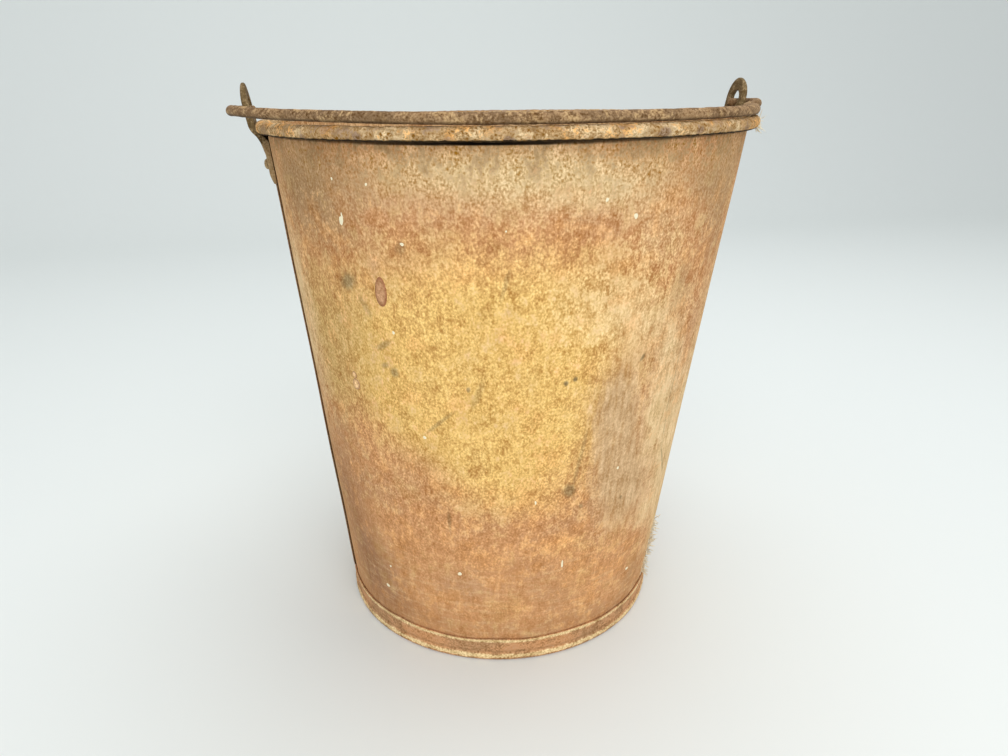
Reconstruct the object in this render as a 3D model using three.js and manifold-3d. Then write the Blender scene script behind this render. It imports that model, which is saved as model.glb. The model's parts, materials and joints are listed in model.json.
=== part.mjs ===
// A tapered sheet-metal pail: a seamed body with a wired rim, a dished bottom, a beaded foot hoop,
// two riveted ears and a rod bail that lies on the front of the rim.
// Millimetres, +Z up. The origin is on the floor under the middle of the rim, +X runs through the
// right ear and the bail rests on the -Y side.

import * as THREE from 'three';
import { mergeVertices } from 'three/addons/utils/BufferGeometryUtils.js';
import Module from 'manifold-3d';

const wasm = await Module();
wasm.setup();

// Body
const RIM_D = 303; // across the rolled rim
const HEIGHT = 328.2; // floor to the top of the rim
const FLOOR_D = 214; // across the wall's outside, carried down to the floor
const SHEET = 1.0; // body and bottom sheet
const RIM_WIRE_D = 4.2;
const WIRE_PLAY = 0.4; // round the wire inside the roll
const LIP_GAP = 0.6; // from the rolled lip to the wall
const SEAM_W = 8; // lock seam, under the left ear
const SEAM_T = 1.6; // how far the seam stands out
const SEAM_ROUND = 0.6;
const CLEARANCE = 0.35; // between pieces that touch

// Bottom and foot hoop
const BOTTOM_Z = 10; // top of the bottom sheet at its edge
const BOTTOM_CROWN = 2; // how far its middle stands above its edge
const BOTTOM_BEND_R = 2.5;
const HOOP_H = 16.5;
const HOOP_T = 1.0;
const HOOP_BEAD_H = 6.5; // height of the beaded lower edge
const HOOP_BEAD_OUT = 1.2; // how far the bead stands out from the band
const HOOP_BEAD_SLOPE = 1; // how far the bead's top falls on its way out
const HOOP_LIP_H = 6; // edge turned up inside the foot

// Ears
const EAR_DROP = 36.2; // rim top down to the ear's foot
const EAR_RISE = 20.8; // rim top up to the ear's tip
const EAR_PLATE_W = 28;
const EAR_PLATE_H = 17; // height of the full-width plate
const EAR_CORNER_R = 5;
const EAR_NECK_W = 19;
const EYE_W = 20.5;
const EYE_HOLE_W = 12;
const EYE_HOLE_H = 11;
const EYE_SILL = 2.3; // rim top up to the bottom of the eye's hole
const EAR_FOOT_T = 1.3;
const EAR_FOOT_BEVEL = 6; // height over which the foot thickens to the plate
const EAR_PLATE_T = 2.4;
const EAR_NECK_T = 4.0;
const EAR_CRANK_T = 2.1; // under the bead
const EYE_T = 3.2;
const EAR_TIP_T = 1.4;
const CRANK_ANGLE = THREE.MathUtils.degToRad(45); // slope of the crank, from upright
const EYE_LEAN = THREE.MathUtils.degToRad(10.5); // the eye leans out
const EAR_BEND = 3; // length of the rounding at the ear's outer bends

// Rivets
const RIVET_PITCH = 15;
const RIVET_RISE = 12; // ear's foot up to the rivets
const RIVET_D = 3.6;
const RIVET_HEAD_D = 6;
const RIVET_HEAD_T = 2;
const RIVET_PEEN_D = 5.5; // hammered end inside the bucket
const RIVET_PEEN_T = 1.4;

// Bail
const ROD_D = 5.6;
const FLARE_RIGHT = THREE.MathUtils.degToRad(15); // where the rod leaves the rim, from the line of the ears
const FLARE_LEFT = THREE.MathUtils.degToRad(40); // the old rod is bent, and leaves the rim sooner on the left
const HOOK_BEND_R = 5.5;
const FLARE_START = 3; // the rod starts to flare this far short of the ear tip's reach
const FLARE_PULL = 0.45; // how slowly the flare leaves its two ends, as a share of its length
const HOOK_REACH = 12.3; // from the rod outside the ear in to the hook's tip
const BAIL_PLAY = 0.9; // the bail slides this far to either side
const BAIL_SHIFT = 0.4; // and lies this far over to the left

// The old pail stands out of true: the body leans to the right and its rim is higher on the right.
const RIM_LEAN = 5.4;
const RIM_TILT = 0.0115; // rise over run

// Fineness of the curved surfaces
const ROUND_STEPS = 72;
const ROLL_STEPS = 5;
const SEAM_STEPS = 2;
const WIRE_STEPS = 4;
const BOTTOM_STEPS = 2;
const HOOP_STEPS = 3;
const EAR_STEPS = 5;
const RIVET_STEPS = 4;
const RIVET_SIDES = 16;
const ROD_STEPS = 5;
const BAIL_ARC_STEPS = 14;
const BAIL_FLARE_STEPS = 7;
const BAIL_BEND_STEPS = 5;

// Worked out from the sizes above
const FLOOR_R = FLOOR_D / 2;
const ROD_R = ROD_D / 2;
const ROLL_R = RIM_WIRE_D / 2 + WIRE_PLAY;
const BEAD_R = ROLL_R + SHEET;
const BEAD = new THREE.Vector2(RIM_D / 2 - BEAD_R, HEIGHT - BEAD_R);
const floorToBead = new THREE.Vector2(BEAD.x - FLOOR_R, BEAD.y);
const WALL_ANGLE = Math.atan2(floorToBead.x, floorToBead.y) - Math.asin(ROLL_R / floorToBead.length());
const EAR_FOOT_Z = HEIGHT - EAR_DROP;
const EAR_SEAT_R = BEAD_R + CLEARANCE;
const RIVET_Z = EAR_FOOT_Z + RIVET_RISE;
const EYE_HOLE_Z = HEIGHT + EYE_SILL;
const PIVOT_Z = EYE_HOLE_Z + CLEARANCE + ROD_R;

// Radius of a line parallel to the wall, so far out from the wall's outer face, at height z.
const wallR = (z, out = 0) => FLOOR_R + z * Math.tan(WALL_ANGLE) + out / Math.cos(WALL_ANGLE);

// How far a surface of this radius falls away from its tangent plane.
const sagitta = (radius, across) => radius - Math.sqrt(radius * radius - across * across);

// A closed mesh as a solid, without the empty triangles that a revolve leaves on its axis.
function solid(geometry) {
  geometry.deleteAttribute('normal');
  geometry.deleteAttribute('uv');
  const merged = mergeVertices(geometry);
  const index = merged.index.array;
  const triVerts = [];
  for (let i = 0; i < index.length; i += 3) {
    const [a, b, c] = index.slice(i, i + 3);
    if (a !== b && b !== c && c !== a) triVerts.push(a, b, c);
  }
  const mesh = new wasm.Mesh({
    numProp: 3,
    vertProperties: merged.attributes.position.array,
    triVerts: new Uint32Array(triVerts),
  });
  return new wasm.Manifold(mesh);
}

function toGeometry(manifold) {
  const { vertProperties, triVerts } = manifold.getMesh();
  const geometry = new THREE.BufferGeometry();
  geometry.setAttribute('position', new THREE.BufferAttribute(vertProperties, 3));
  geometry.setIndex(new THREE.BufferAttribute(triVerts, 1));
  geometry.computeVertexNormals();
  return geometry;
}

// Turns a profile of (radius, height) points about the upright axis.
function revolve(path, divisions) {
  const geometry = new THREE.LatheGeometry(path.getPoints(divisions), ROUND_STEPS);
  return solid(geometry.rotateX(Math.PI / 2));
}

// Extrudes a shape straight along Z, from its plane.
function extrude(shape, depth, curveSegments) {
  return new THREE.ExtrudeGeometry(shape, { depth, bevelEnabled: false, curveSegments });
}

// The wall and the roll over the wire, as one folded sheet.
// The wall's outer face becomes the inside of the roll.
function bodySheet() {
  const foot = HOOP_T + CLEARANCE;
  const rollStart = Math.PI - WALL_ANGLE;
  const rollEnd = rollStart + Math.acos((ROLL_R - LIP_GAP) / BEAD_R) - 2 * Math.PI;
  const profile = new THREE.Path();
  profile.moveTo(wallR(foot, -SHEET), foot);
  profile.lineTo(wallR(foot), foot);
  profile.absarc(BEAD.x, BEAD.y, ROLL_R, rollStart, rollEnd, true);
  profile.absarc(BEAD.x, BEAD.y, BEAD_R, rollEnd, rollStart, false);
  profile.closePath();
  let body = revolve(profile, ROLL_STEPS).add(seam(0));
  for (const side of [0, Math.PI]) {
    for (const along of [-0.5, 0.5]) {
      body = body.subtract(rivetHole(along * RIVET_PITCH, side));
    }
  }
  return body;
}

// The lock seam runs up the left of the wall from the hoop to the bead.
// A margin makes the groove that clears it.
function seam(margin) {
  const half = SEAM_W / 2 + margin;
  const top = SEAM_T + margin;
  const low = (HOOP_H + SEAM_ROUND) / Math.cos(WALL_ANGLE);
  const high = (BEAD.y - BEAD_R) / Math.cos(WALL_ANGLE);
  const section = new THREE.Shape();
  section.moveTo(-half, -SHEET / 2);
  section.lineTo(half, -SHEET / 2);
  section.lineTo(half, top - SEAM_ROUND);
  section.quadraticCurveTo(half, top, half - SEAM_ROUND, top);
  section.lineTo(SEAM_ROUND - half, top);
  section.quadraticCurveTo(-half, top, -half, top - SEAM_ROUND);
  section.closePath();
  const strip = extrude(section, high - low, SEAM_STEPS).translate(0, 0, low);
  return solid(strip.applyMatrix4(onWall(0, Math.PI)));
}

// The frame of a point on the wall's outer face: X along the wall's round, Y out of it and Z up its slope.
function onWall(height, side) {
  const slope = new THREE.Vector3(Math.sin(WALL_ANGLE), 0, Math.cos(WALL_ANGLE));
  const out = new THREE.Vector3(Math.cos(WALL_ANGLE), 0, -Math.sin(WALL_ANGLE));
  const round = new THREE.Vector3().crossVectors(out, slope);
  const frame = new THREE.Matrix4().makeBasis(round, out, slope);
  frame.setPosition(wallR(height), 0, height);
  return new THREE.Matrix4().makeRotationZ(side).multiply(frame);
}

function rimWire() {
  const profile = new THREE.Path();
  profile.absarc(BEAD.x, BEAD.y, RIM_WIRE_D / 2, 0, 2 * Math.PI, false);
  return revolve(profile, WIRE_STEPS);
}

// The bottom: a crowned disc whose edge is turned down inside the wall.
function bottomDisc() {
  const outer = -SHEET - CLEARANCE;
  const foot = HOOP_T + CLEARANCE;
  const bendZ = BOTTOM_Z - BOTTOM_BEND_R;
  const bendR = wallR(bendZ, outer - BOTTOM_BEND_R);
  const middle = BOTTOM_Z + BOTTOM_CROWN;
  const profile = new THREE.Path();
  profile.moveTo(0, middle - SHEET);
  profile.quadraticCurveTo(bendR / 2, middle - SHEET, bendR, BOTTOM_Z - SHEET);
  profile.absarc(bendR, bendZ, BOTTOM_BEND_R - SHEET, Math.PI / 2, -WALL_ANGLE, true);
  profile.lineTo(wallR(foot, outer - SHEET), foot);
  profile.lineTo(wallR(foot, outer), foot);
  profile.absarc(bendR, bendZ, BOTTOM_BEND_R, -WALL_ANGLE, Math.PI / 2, false);
  profile.quadraticCurveTo(bendR / 2, middle, 0, middle);
  return revolve(profile, BOTTOM_STEPS);
}

// The hoop: a band round the foot with a beaded lower edge, a flat sole and an edge turned up inside.
function footHoop() {
  const inner = CLEARANCE;
  const outer = inner + HOOP_T;
  const lipOut = -2 * (SHEET + CLEARANCE);
  const lipIn = lipOut - HOOP_T;
  const crest = wallR(HOOP_BEAD_H / 2, outer + HOOP_BEAD_OUT);
  const profile = new THREE.Path();
  profile.moveTo(wallR(HOOP_T, inner), HOOP_T);
  profile.lineTo(wallR(HOOP_T, lipOut), HOOP_T);
  profile.lineTo(wallR(HOOP_LIP_H, lipOut), HOOP_LIP_H);
  profile.lineTo(wallR(HOOP_LIP_H, lipIn), HOOP_LIP_H);
  profile.lineTo(wallR(HOOP_T, lipIn), HOOP_T);
  profile.quadraticCurveTo(wallR(0, lipIn), 0, wallR(0, lipOut), 0);
  profile.lineTo(wallR(0, inner), 0);
  profile.quadraticCurveTo(crest, 0, crest, HOOP_BEAD_H / 2);
  profile.quadraticCurveTo(crest, HOOP_BEAD_H - HOOP_BEAD_SLOPE, wallR(HOOP_BEAD_H, outer), HOOP_BEAD_H);
  profile.lineTo(wallR(HOOP_H - HOOP_T / 2, outer), HOOP_H - HOOP_T / 2);
  profile.quadraticCurveTo(wallR(HOOP_H, outer), HOOP_H, wallR(HOOP_H, inner + HOOP_T / 2), HOOP_H);
  profile.lineTo(wallR(HOOP_H, inner), HOOP_H);
  profile.closePath();
  return revolve(profile, HOOP_STEPS);
}

// Where a line parallel to the wall meets the crank's line, which touches a circle round the bead.
function crankMeetsWall(out, radius) {
  const wall = new THREE.Vector2(Math.cos(WALL_ANGLE), -Math.sin(WALL_ANGLE));
  const crank = new THREE.Vector2(Math.cos(CRANK_ANGLE), -Math.sin(CRANK_ANGLE));
  const a = FLOOR_R * wall.x + out;
  const b = BEAD.dot(crank) + radius;
  const det = wall.x * crank.y - wall.y * crank.x;
  return new THREE.Vector2((a * crank.y - b * wall.y) / det, (wall.x * b - crank.x * a) / det);
}

// A point of the leaning eye in the side view: so far out from the bead's middle, at height z.
function eyePoint(out, z) {
  const r = BEAD.x + out / Math.cos(EYE_LEAN) + (z - BEAD.y) * Math.tan(EYE_LEAN);
  return new THREE.Vector2(r, z);
}

// The ear from the side: up the wall, out round the bead and up to the thin tip.
// It starts deeper than its seat, which is cut to the round of the wall and the bead afterwards.
const EAR_SINK = sagitta(wallR(EAR_FOOT_Z), EAR_PLATE_W / 2);
const EAR_TIP_Z = HEIGHT + EAR_RISE;
const EYE_MIDDLE_Z = EYE_HOLE_Z + EYE_HOLE_W / 2;
const EYE_SHOULDER = eyePoint(EAR_SEAT_R + EYE_T, EYE_MIDDLE_Z);
const EYE_ROUND = eyePoint(EAR_SEAT_R + EYE_T, (EYE_MIDDLE_Z + EAR_TIP_Z) / 2);
const EYE_TIP = eyePoint(EAR_SEAT_R + EAR_TIP_T, EAR_TIP_Z);

function earSide() {
  const back = CLEARANCE - EAR_SINK;
  const backRound = EAR_SEAT_R - EAR_SINK;
  const plate = CLEARANCE + EAR_PLATE_T;
  const plateTop = EAR_FOOT_Z + EAR_PLATE_H;
  const bevelTop = EAR_FOOT_Z + EAR_FOOT_BEVEL;
  const neck = crankMeetsWall(CLEARANCE + EAR_NECK_T, EAR_SEAT_R + EAR_CRANK_T);
  const crankDir = new THREE.Vector2(Math.sin(CRANK_ANGLE), Math.cos(CRANK_ANGLE));
  const neckEnd = neck.clone().addScaledVector(crankDir, EAR_BEND);
  const elbow = crankMeetsEye(EAR_SEAT_R + EAR_CRANK_T, EAR_SEAT_R + EYE_T);
  const elbowStart = elbow.clone().addScaledVector(crankDir, -EAR_BEND);
  const elbowEnd = eyePoint(EAR_SEAT_R + EYE_T, elbow.y + EAR_BEND);
  const tipBack = eyePoint(backRound, EAR_TIP_Z);
  const side = new THREE.Shape();
  side.moveTo(wallR(EAR_FOOT_Z, back), EAR_FOOT_Z);
  side.lineTo(wallR(EAR_FOOT_Z, CLEARANCE + EAR_FOOT_T), EAR_FOOT_Z);
  side.lineTo(wallR(bevelTop, plate), bevelTop);
  side.lineTo(wallR(plateTop, plate), plateTop);
  side.quadraticCurveTo(neck.x, neck.y, neckEnd.x, neckEnd.y);
  side.lineTo(elbowStart.x, elbowStart.y);
  side.quadraticCurveTo(elbow.x, elbow.y, elbowEnd.x, elbowEnd.y);
  side.lineTo(EYE_SHOULDER.x, EYE_SHOULDER.y);
  side.quadraticCurveTo(EYE_ROUND.x, EYE_ROUND.y, EYE_TIP.x, EYE_TIP.y);
  side.lineTo(tipBack.x, tipBack.y);
  side.absarc(BEAD.x, BEAD.y, backRound, -EYE_LEAN, -CRANK_ANGLE, true);
  const backCorner = crankMeetsWall(back, backRound);
  side.lineTo(backCorner.x, backCorner.y);
  side.closePath();
  return side;
}

// Where the crank's outer line meets the eye's outer line.
function crankMeetsEye(crankOut, eyeOut) {
  const eye = eyePoint(eyeOut, BEAD.y);
  const eyeSlope = Math.tan(EYE_LEAN);
  const crankSlope = Math.tan(CRANK_ANGLE);
  const crankR = BEAD.x + crankOut / Math.cos(CRANK_ANGLE);
  const z = BEAD.y + (eye.x - crankR) / (crankSlope - eyeSlope);
  return eyePoint(eyeOut, z);
}

// The ear from the front: a riveted plate, a neck and the rounded eye.
function earFront() {
  const plate = EAR_PLATE_W / 2;
  const neck = EAR_NECK_W / 2;
  const eye = EYE_W / 2;
  const plateTop = EAR_FOOT_Z + EAR_PLATE_H;
  const corner = EAR_FOOT_Z + EAR_CORNER_R;
  const neckZ = (plateTop + EYE_MIDDLE_Z) / 2;
  const lower = (neckZ - plateTop) / 2;
  const upper = (EYE_MIDDLE_Z - neckZ) / 2;
  const front = new THREE.Shape();
  front.moveTo(EAR_CORNER_R - plate, EAR_FOOT_Z);
  front.absarc(plate - EAR_CORNER_R, corner, EAR_CORNER_R, -Math.PI / 2, 0, false);
  front.lineTo(plate, plateTop);
  front.bezierCurveTo(plate, plateTop + lower, neck, neckZ - lower, neck, neckZ);
  front.bezierCurveTo(neck, neckZ + upper, eye, EYE_MIDDLE_Z - upper, eye, EYE_MIDDLE_Z);
  front.absellipse(0, EYE_MIDDLE_Z, eye, EAR_TIP_Z - EYE_MIDDLE_Z, 0, Math.PI, false);
  front.bezierCurveTo(-eye, EYE_MIDDLE_Z - upper, -neck, neckZ + upper, -neck, neckZ);
  front.bezierCurveTo(-neck, neckZ - lower, -plate, plateTop + lower, -plate, plateTop);
  front.lineTo(-plate, corner);
  front.absarc(EAR_CORNER_R - plate, corner, EAR_CORNER_R, Math.PI, 1.5 * Math.PI, false);
  return front;
}

// The eye's hole: round below, where the rod sits, and elliptical above.
function eyeHole() {
  const half = EYE_HOLE_W / 2;
  const hole = new THREE.Shape();
  hole.absarc(0, EYE_MIDDLE_Z, half, Math.PI, 2 * Math.PI, false);
  hole.absellipse(0, EYE_MIDDLE_Z, half, EYE_HOLE_H - half, 0, Math.PI, false);
  return hole;
}

// The space that the wall and the bead take up, with the clearance round them.
function earSeat() {
  const reach = Math.acos((ROLL_R - CLEARANCE) / EAR_SEAT_R);
  const low = EAR_FOOT_Z - EAR_CORNER_R;
  const profile = new THREE.Path();
  profile.moveTo(0, low);
  profile.lineTo(wallR(low, CLEARANCE), low);
  profile.absarc(BEAD.x, BEAD.y, EAR_SEAT_R, Math.PI - WALL_ANGLE + reach - 2 * Math.PI, Math.PI / 2, false);
  profile.lineTo(0, BEAD.y + EAR_SEAT_R);
  return revolve(profile, ROLL_STEPS);
}

// Stands a front view, drawn as (round, height), across the right side and extrudes it through the ear.
function throughEar(shape) {
  const across = new THREE.Matrix4().makeBasis(
    new THREE.Vector3(0, 1, 0),
    new THREE.Vector3(0, 0, 1),
    new THREE.Vector3(1, 0, 0),
  );
  const geometry = extrude(shape, RIM_D / 2, EAR_STEPS).applyMatrix4(across);
  return solid(geometry.translate(RIM_D / 4, 0, 0));
}

// Either ear: the side view carried across, cut to the front view, the hole, the rivets and its seat.
function ear(side) {
  const bar = extrude(earSide(), 2 * EAR_PLATE_W, EAR_STEPS).translate(0, 0, -EAR_PLATE_W);
  let shaped = solid(bar.rotateX(Math.PI / 2)).intersect(throughEar(earFront()));
  shaped = shaped.subtract(throughEar(eyeHole())).subtract(earSeat());
  for (const along of [-0.5, 0.5]) {
    shaped = shaped.subtract(rivetHole(along * RIVET_PITCH, 0));
  }
  const placed = solid(toGeometry(shaped).rotateZ(side));
  return side === 0 ? placed : placed.subtract(seam(CLEARANCE));
}

// A rivet's profile is drawn along its own axis, from the hammered end inside to the domed head outside.
const RIVET_SEAT_OUT = 2 * CLEARANCE + EAR_PLATE_T;
const RIVET_SEAT_IN = -SHEET - CLEARANCE - sagitta(wallR(RIVET_Z), (RIVET_PITCH + RIVET_PEEN_D) / 2);

function rivet() {
  const head = RIVET_HEAD_D / 2;
  const peen = RIVET_PEEN_D / 2;
  const profile = new THREE.Path();
  profile.moveTo(0, RIVET_SEAT_IN - RIVET_PEEN_T);
  profile.quadraticCurveTo(peen, RIVET_SEAT_IN - RIVET_PEEN_T, peen, RIVET_SEAT_IN);
  profile.lineTo(RIVET_D / 2, RIVET_SEAT_IN);
  profile.lineTo(RIVET_D / 2, RIVET_SEAT_OUT);
  profile.lineTo(head, RIVET_SEAT_OUT);
  profile.quadraticCurveTo(head, RIVET_SEAT_OUT + RIVET_HEAD_T, 0, RIVET_SEAT_OUT + RIVET_HEAD_T);
  return new THREE.LatheGeometry(profile.getPoints(RIVET_STEPS), RIVET_SIDES);
}

// The hole for a rivet runs well past both of its seats.
function rivetHole(along, side) {
  const radius = RIVET_D / 2 + CLEARANCE;
  const depth = 4 * (RIVET_SEAT_OUT - RIVET_SEAT_IN);
  const hole = new THREE.CylinderGeometry(radius, radius, depth, RIVET_SIDES);
  return solid(hole.translate(along, 0, 0).applyMatrix4(onWall(RIVET_Z, side)));
}

// Half of the bail's route, drawn on the right: round the rim, out past the ear and in through its eye.
const EAR_OUT = (EYE_SHOULDER.x + 2 * EYE_ROUND.x + EYE_TIP.x) / 4;
const HOOK_X = EAR_OUT + CLEARANCE + ROD_R + BAIL_PLAY;
const BAIL_R = BEAD.x + CLEARANCE;
const BAIL_FRONT_Z = HEIGHT + CLEARANCE + ROD_R;

// The control points of a straight stretch.
const straight = (a, b) => [0, 1 / 3, 2 / 3, 1].map((t) => a.clone().lerp(b, t));

function bailHalf(flare) {
  const at = (x, y, z) => new THREE.Vector3(x, y, z);
  const sweep = Math.PI / 2 - flare;
  const arcPull = (4 / 3) * Math.tan(sweep / 4) * BAIL_R;
  const sin = Math.sin(flare);
  const cos = Math.cos(flare);
  const arcEnd = at(BAIL_R * cos, -BAIL_R * sin, BAIL_FRONT_Z);
  const flareEnd = at(HOOK_X, PIVOT_Z + FLARE_START - EAR_TIP_Z, PIVOT_Z);
  const flarePull = arcEnd.distanceTo(flareEnd) * FLARE_PULL;
  const bendStart = at(HOOK_X, -HOOK_BEND_R, PIVOT_Z);
  const bendEnd = at(HOOK_X - HOOK_BEND_R, 0, PIVOT_Z);
  const bendPull = (4 / 3) * Math.tan(Math.PI / 8) * HOOK_BEND_R;
  return [
    {
      steps: BAIL_ARC_STEPS,
      points: [
        at(0, -BAIL_R, BAIL_FRONT_Z),
        at(arcPull, -BAIL_R, BAIL_FRONT_Z),
        at(arcEnd.x - arcPull * sin, arcEnd.y - arcPull * cos, BAIL_FRONT_Z),
        arcEnd,
      ],
    },
    {
      steps: BAIL_FLARE_STEPS,
      points: [
        arcEnd,
        at(arcEnd.x + flarePull * sin, arcEnd.y + flarePull * cos, BAIL_FRONT_Z),
        at(flareEnd.x, flareEnd.y - flarePull, PIVOT_Z),
        flareEnd,
      ],
    },
    { steps: 1, points: straight(flareEnd, bendStart) },
    {
      steps: BAIL_BEND_STEPS,
      points: [
        bendStart,
        at(HOOK_X, bendPull - HOOK_BEND_R, PIVOT_Z),
        at(bendEnd.x + bendPull, 0, PIVOT_Z),
        bendEnd,
      ],
    },
    { steps: 1, points: straight(bendEnd, at(HOOK_X - HOOK_REACH, 0, PIVOT_Z)) },
  ];
}

// A chain of Bezier curves in which each keeps its own number of steps.
class Route extends THREE.Curve {
  constructor(pieces) {
    super();
    this.curves = pieces.map(({ steps, points }) => {
      return { steps, curve: new THREE.CubicBezierCurve3(...points) };
    });
    this.steps = pieces.reduce((sum, { steps }) => sum + steps, 0);
  }

  piece(t) {
    let step = t * this.steps;
    let k = 0;
    while (k < this.curves.length - 1 && step > this.curves[k].steps) {
      step -= this.curves[k].steps;
      k += 1;
    }
    const { steps, curve } = this.curves[k];
    return [curve, Math.min(step / steps, 1)];
  }

  getPointAt(t) {
    const [curve, local] = this.piece(t);
    return curve.getPoint(local);
  }

  getTangentAt(t) {
    const [curve, local] = this.piece(t);
    return curve.getTangent(local);
  }
}

function bail() {
  const right = bailHalf(FLARE_RIGHT);
  const mirrored = (p) => new THREE.Vector3(-p.x, p.y, p.z);
  const left = bailHalf(FLARE_LEFT).map(({ steps, points }) => {
    return { steps, points: points.map(mirrored).reverse() };
  });
  const route = new Route([...left.reverse(), ...right]);
  const section = new THREE.Shape().absarc(0, 0, ROD_R, 0, 2 * Math.PI, false);
  const options = { steps: route.steps, extrudePath: route, curveSegments: ROD_STEPS };
  return solid(new THREE.ExtrudeGeometry(section, options).translate(-BAIL_SHIFT, 0, 0));
}

// Rusted steel in the colours of each piece
const rust = (color, roughness, metalness) => new THREE.MeshStandardMaterial({ color, roughness, metalness });
const BODY_RUST = rust(0xb07a3e, 0.85, 0.25);
const RIM_RUST = rust(0x9a6a38, 0.95, 0.2);
const HOOP_RUST = rust(0xa06a38, 0.88, 0.25);
const EAR_RUST = rust(0x75623f, 0.85, 0.35);
const BAIL_RUST = rust(0x86694a, 0.85, 0.35);

function piece(name, geometry, material) {
  const mesh = new THREE.Mesh(geometry, material);
  mesh.name = name;
  return mesh;
}

const bucket = new THREE.Group();
bucket.add(
  piece('body_sheet', toGeometry(bodySheet()), BODY_RUST),
  piece('rim_wire', toGeometry(rimWire()), RIM_RUST),
  piece('bottom_disc', toGeometry(bottomDisc()), BODY_RUST),
  piece('foot_hoop', toGeometry(footHoop()), HOOP_RUST),
  piece('bail', toGeometry(bail()), BAIL_RUST),
);

const SIDES = [
  { name: 'right_ear', turn: 0, front: -1 },
  { name: 'left_ear', turn: Math.PI, front: 1 },
];
for (const { name, turn, front } of SIDES) {
  bucket.add(piece(name, toGeometry(ear(turn)), EAR_RUST));
  for (const [end, along] of [['front', front], ['rear', -front]]) {
    const geometry = toGeometry(solid(rivet()));
    geometry.translate((-along * RIVET_PITCH) / 2, 0, 0).applyMatrix4(onWall(RIVET_Z, turn));
    bucket.add(piece(`${name}_rivet_${end}`, geometry, EAR_RUST));
  }
}

// Leans the pail and tilts its rim, with the sole left flat on the floor.
for (const { geometry } of bucket.children) {
  const place = geometry.attributes.position;
  for (let i = 0; i < place.count; i += 1) {
    const up = place.getZ(i) / HEIGHT;
    const x = place.getX(i);
    place.setXYZ(i, x + RIM_LEAN * (up - 1), place.getY(i), place.getZ(i) + up * RIM_TILT * x);
  }
  geometry.computeVertexNormals();
}

export default bucket;
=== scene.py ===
"""A rusty sheet-metal pail with a wired rim, riveted ears and a rod bail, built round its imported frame."""

import json
import math
from functools import partial

import bmesh
import bpy
import numpy as np
from bpy.props import FloatProperty, FloatVectorProperty, PointerProperty
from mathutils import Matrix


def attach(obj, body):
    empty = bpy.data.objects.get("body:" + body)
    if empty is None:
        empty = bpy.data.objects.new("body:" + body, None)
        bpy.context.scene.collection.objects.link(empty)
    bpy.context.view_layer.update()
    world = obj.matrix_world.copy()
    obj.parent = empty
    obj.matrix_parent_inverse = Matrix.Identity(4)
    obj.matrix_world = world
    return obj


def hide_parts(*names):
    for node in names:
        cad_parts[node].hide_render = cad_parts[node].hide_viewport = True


bl_info = {
    "name": "Rusty Pail",
    "version": (1, 0, 0),
    "blender": (4, 5, 0),
    "location": "View3D > Sidebar > Pail",
    "description": "Builds a rusty pail with a swinging bail and its studio",
    "category": "Add Mesh",
}

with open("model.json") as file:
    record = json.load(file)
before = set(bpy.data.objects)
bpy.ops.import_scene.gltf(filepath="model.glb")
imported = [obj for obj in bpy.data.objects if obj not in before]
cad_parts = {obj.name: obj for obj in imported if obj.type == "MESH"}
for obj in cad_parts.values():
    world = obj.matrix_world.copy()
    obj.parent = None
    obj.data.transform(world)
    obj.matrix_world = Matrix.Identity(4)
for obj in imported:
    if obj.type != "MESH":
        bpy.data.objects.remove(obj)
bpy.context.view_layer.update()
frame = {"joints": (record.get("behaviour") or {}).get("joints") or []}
PIVOT_HEIGHT = frame["joints"][0]["pos_m"][2]
MM = 0.001

# Radius by which the wall's chart turns angles into lengths.
CHART_RADIUS = 130 * MM

# How many points each piece has all the way round, and the lock seam across.
ROUND = {"body": 780, "wire": 360, "bottom": 240, "hoop": 640, "rivet": 40, "rod": 26, "spot": 20, "lint": 3}
SEAM_POINTS = 33


def length(name, description, default):
    """A size in metres."""
    return FloatProperty(name=name, description=description, default=default, unit="LENGTH", precision=4)


def angle(name, description, degrees):
    """An angle, given in degrees and kept in radians."""
    return FloatProperty(name=name, description=description, default=math.radians(degrees), subtype="ANGLE")


def number(name, description, default):
    """A plain number."""
    return FloatProperty(name=name, description=description, default=default)


def linear(hexcode):
    """The linear colour of a hexadecimal display colour."""
    channels = np.array([int(hexcode[i : i + 2], 16) for i in (0, 2, 4)]) / 255
    low = channels / 12.92
    high = ((channels + 0.055) / 1.055) ** 2.4
    return tuple(np.where(channels <= 0.04045, low, high))


def colour(name, description, hexcode):
    """A paint or rust colour."""
    return FloatVectorProperty(
        name=name, description=description, default=linear(hexcode), subtype="COLOR", min=0, max=1
    )


class BodySizes(bpy.types.PropertyGroup):
    """Sizes of the wall, its seam and its rolled rim."""

    rim_width: length("Rim width", "Across the rolled rim", 303 * MM)
    height: length("Height", "Floor to the top of the rim", 328.2 * MM)
    floor_width: length("Floor width", "Across the wall, carried down to the floor", 214 * MM)
    sheet: length("Sheet", "Thickness of the body and bottom", 1.0 * MM)
    wire: length("Rim wire", "Thickness of the wire in the rim", 4.2 * MM)
    wire_play: length("Wire play", "Room round the wire inside the roll", 0.4 * MM)
    lip_gap: length("Lip gap", "From the rolled lip to the wall", 0.6 * MM)
    seam_width: length("Seam width", "Across the lock seam under the left ear", 8 * MM)
    seam_height: length("Seam height", "How far the seam stands out", 1.6 * MM)
    clearance: length("Clearance", "Between pieces that touch", 0.35 * MM)
    lean: length("Lean", "How far the rim has moved to the right of the foot", 5.4 * MM)
    tilt: number("Tilt", "Rise of the rim over its run to the right", 0.0115)
    dents: length("Dents", "Depth of the wall's soft dents", 0.35 * MM)
    scale: length("Rust scale", "Height of the rust scale on the rim", 0.22 * MM)


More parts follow.
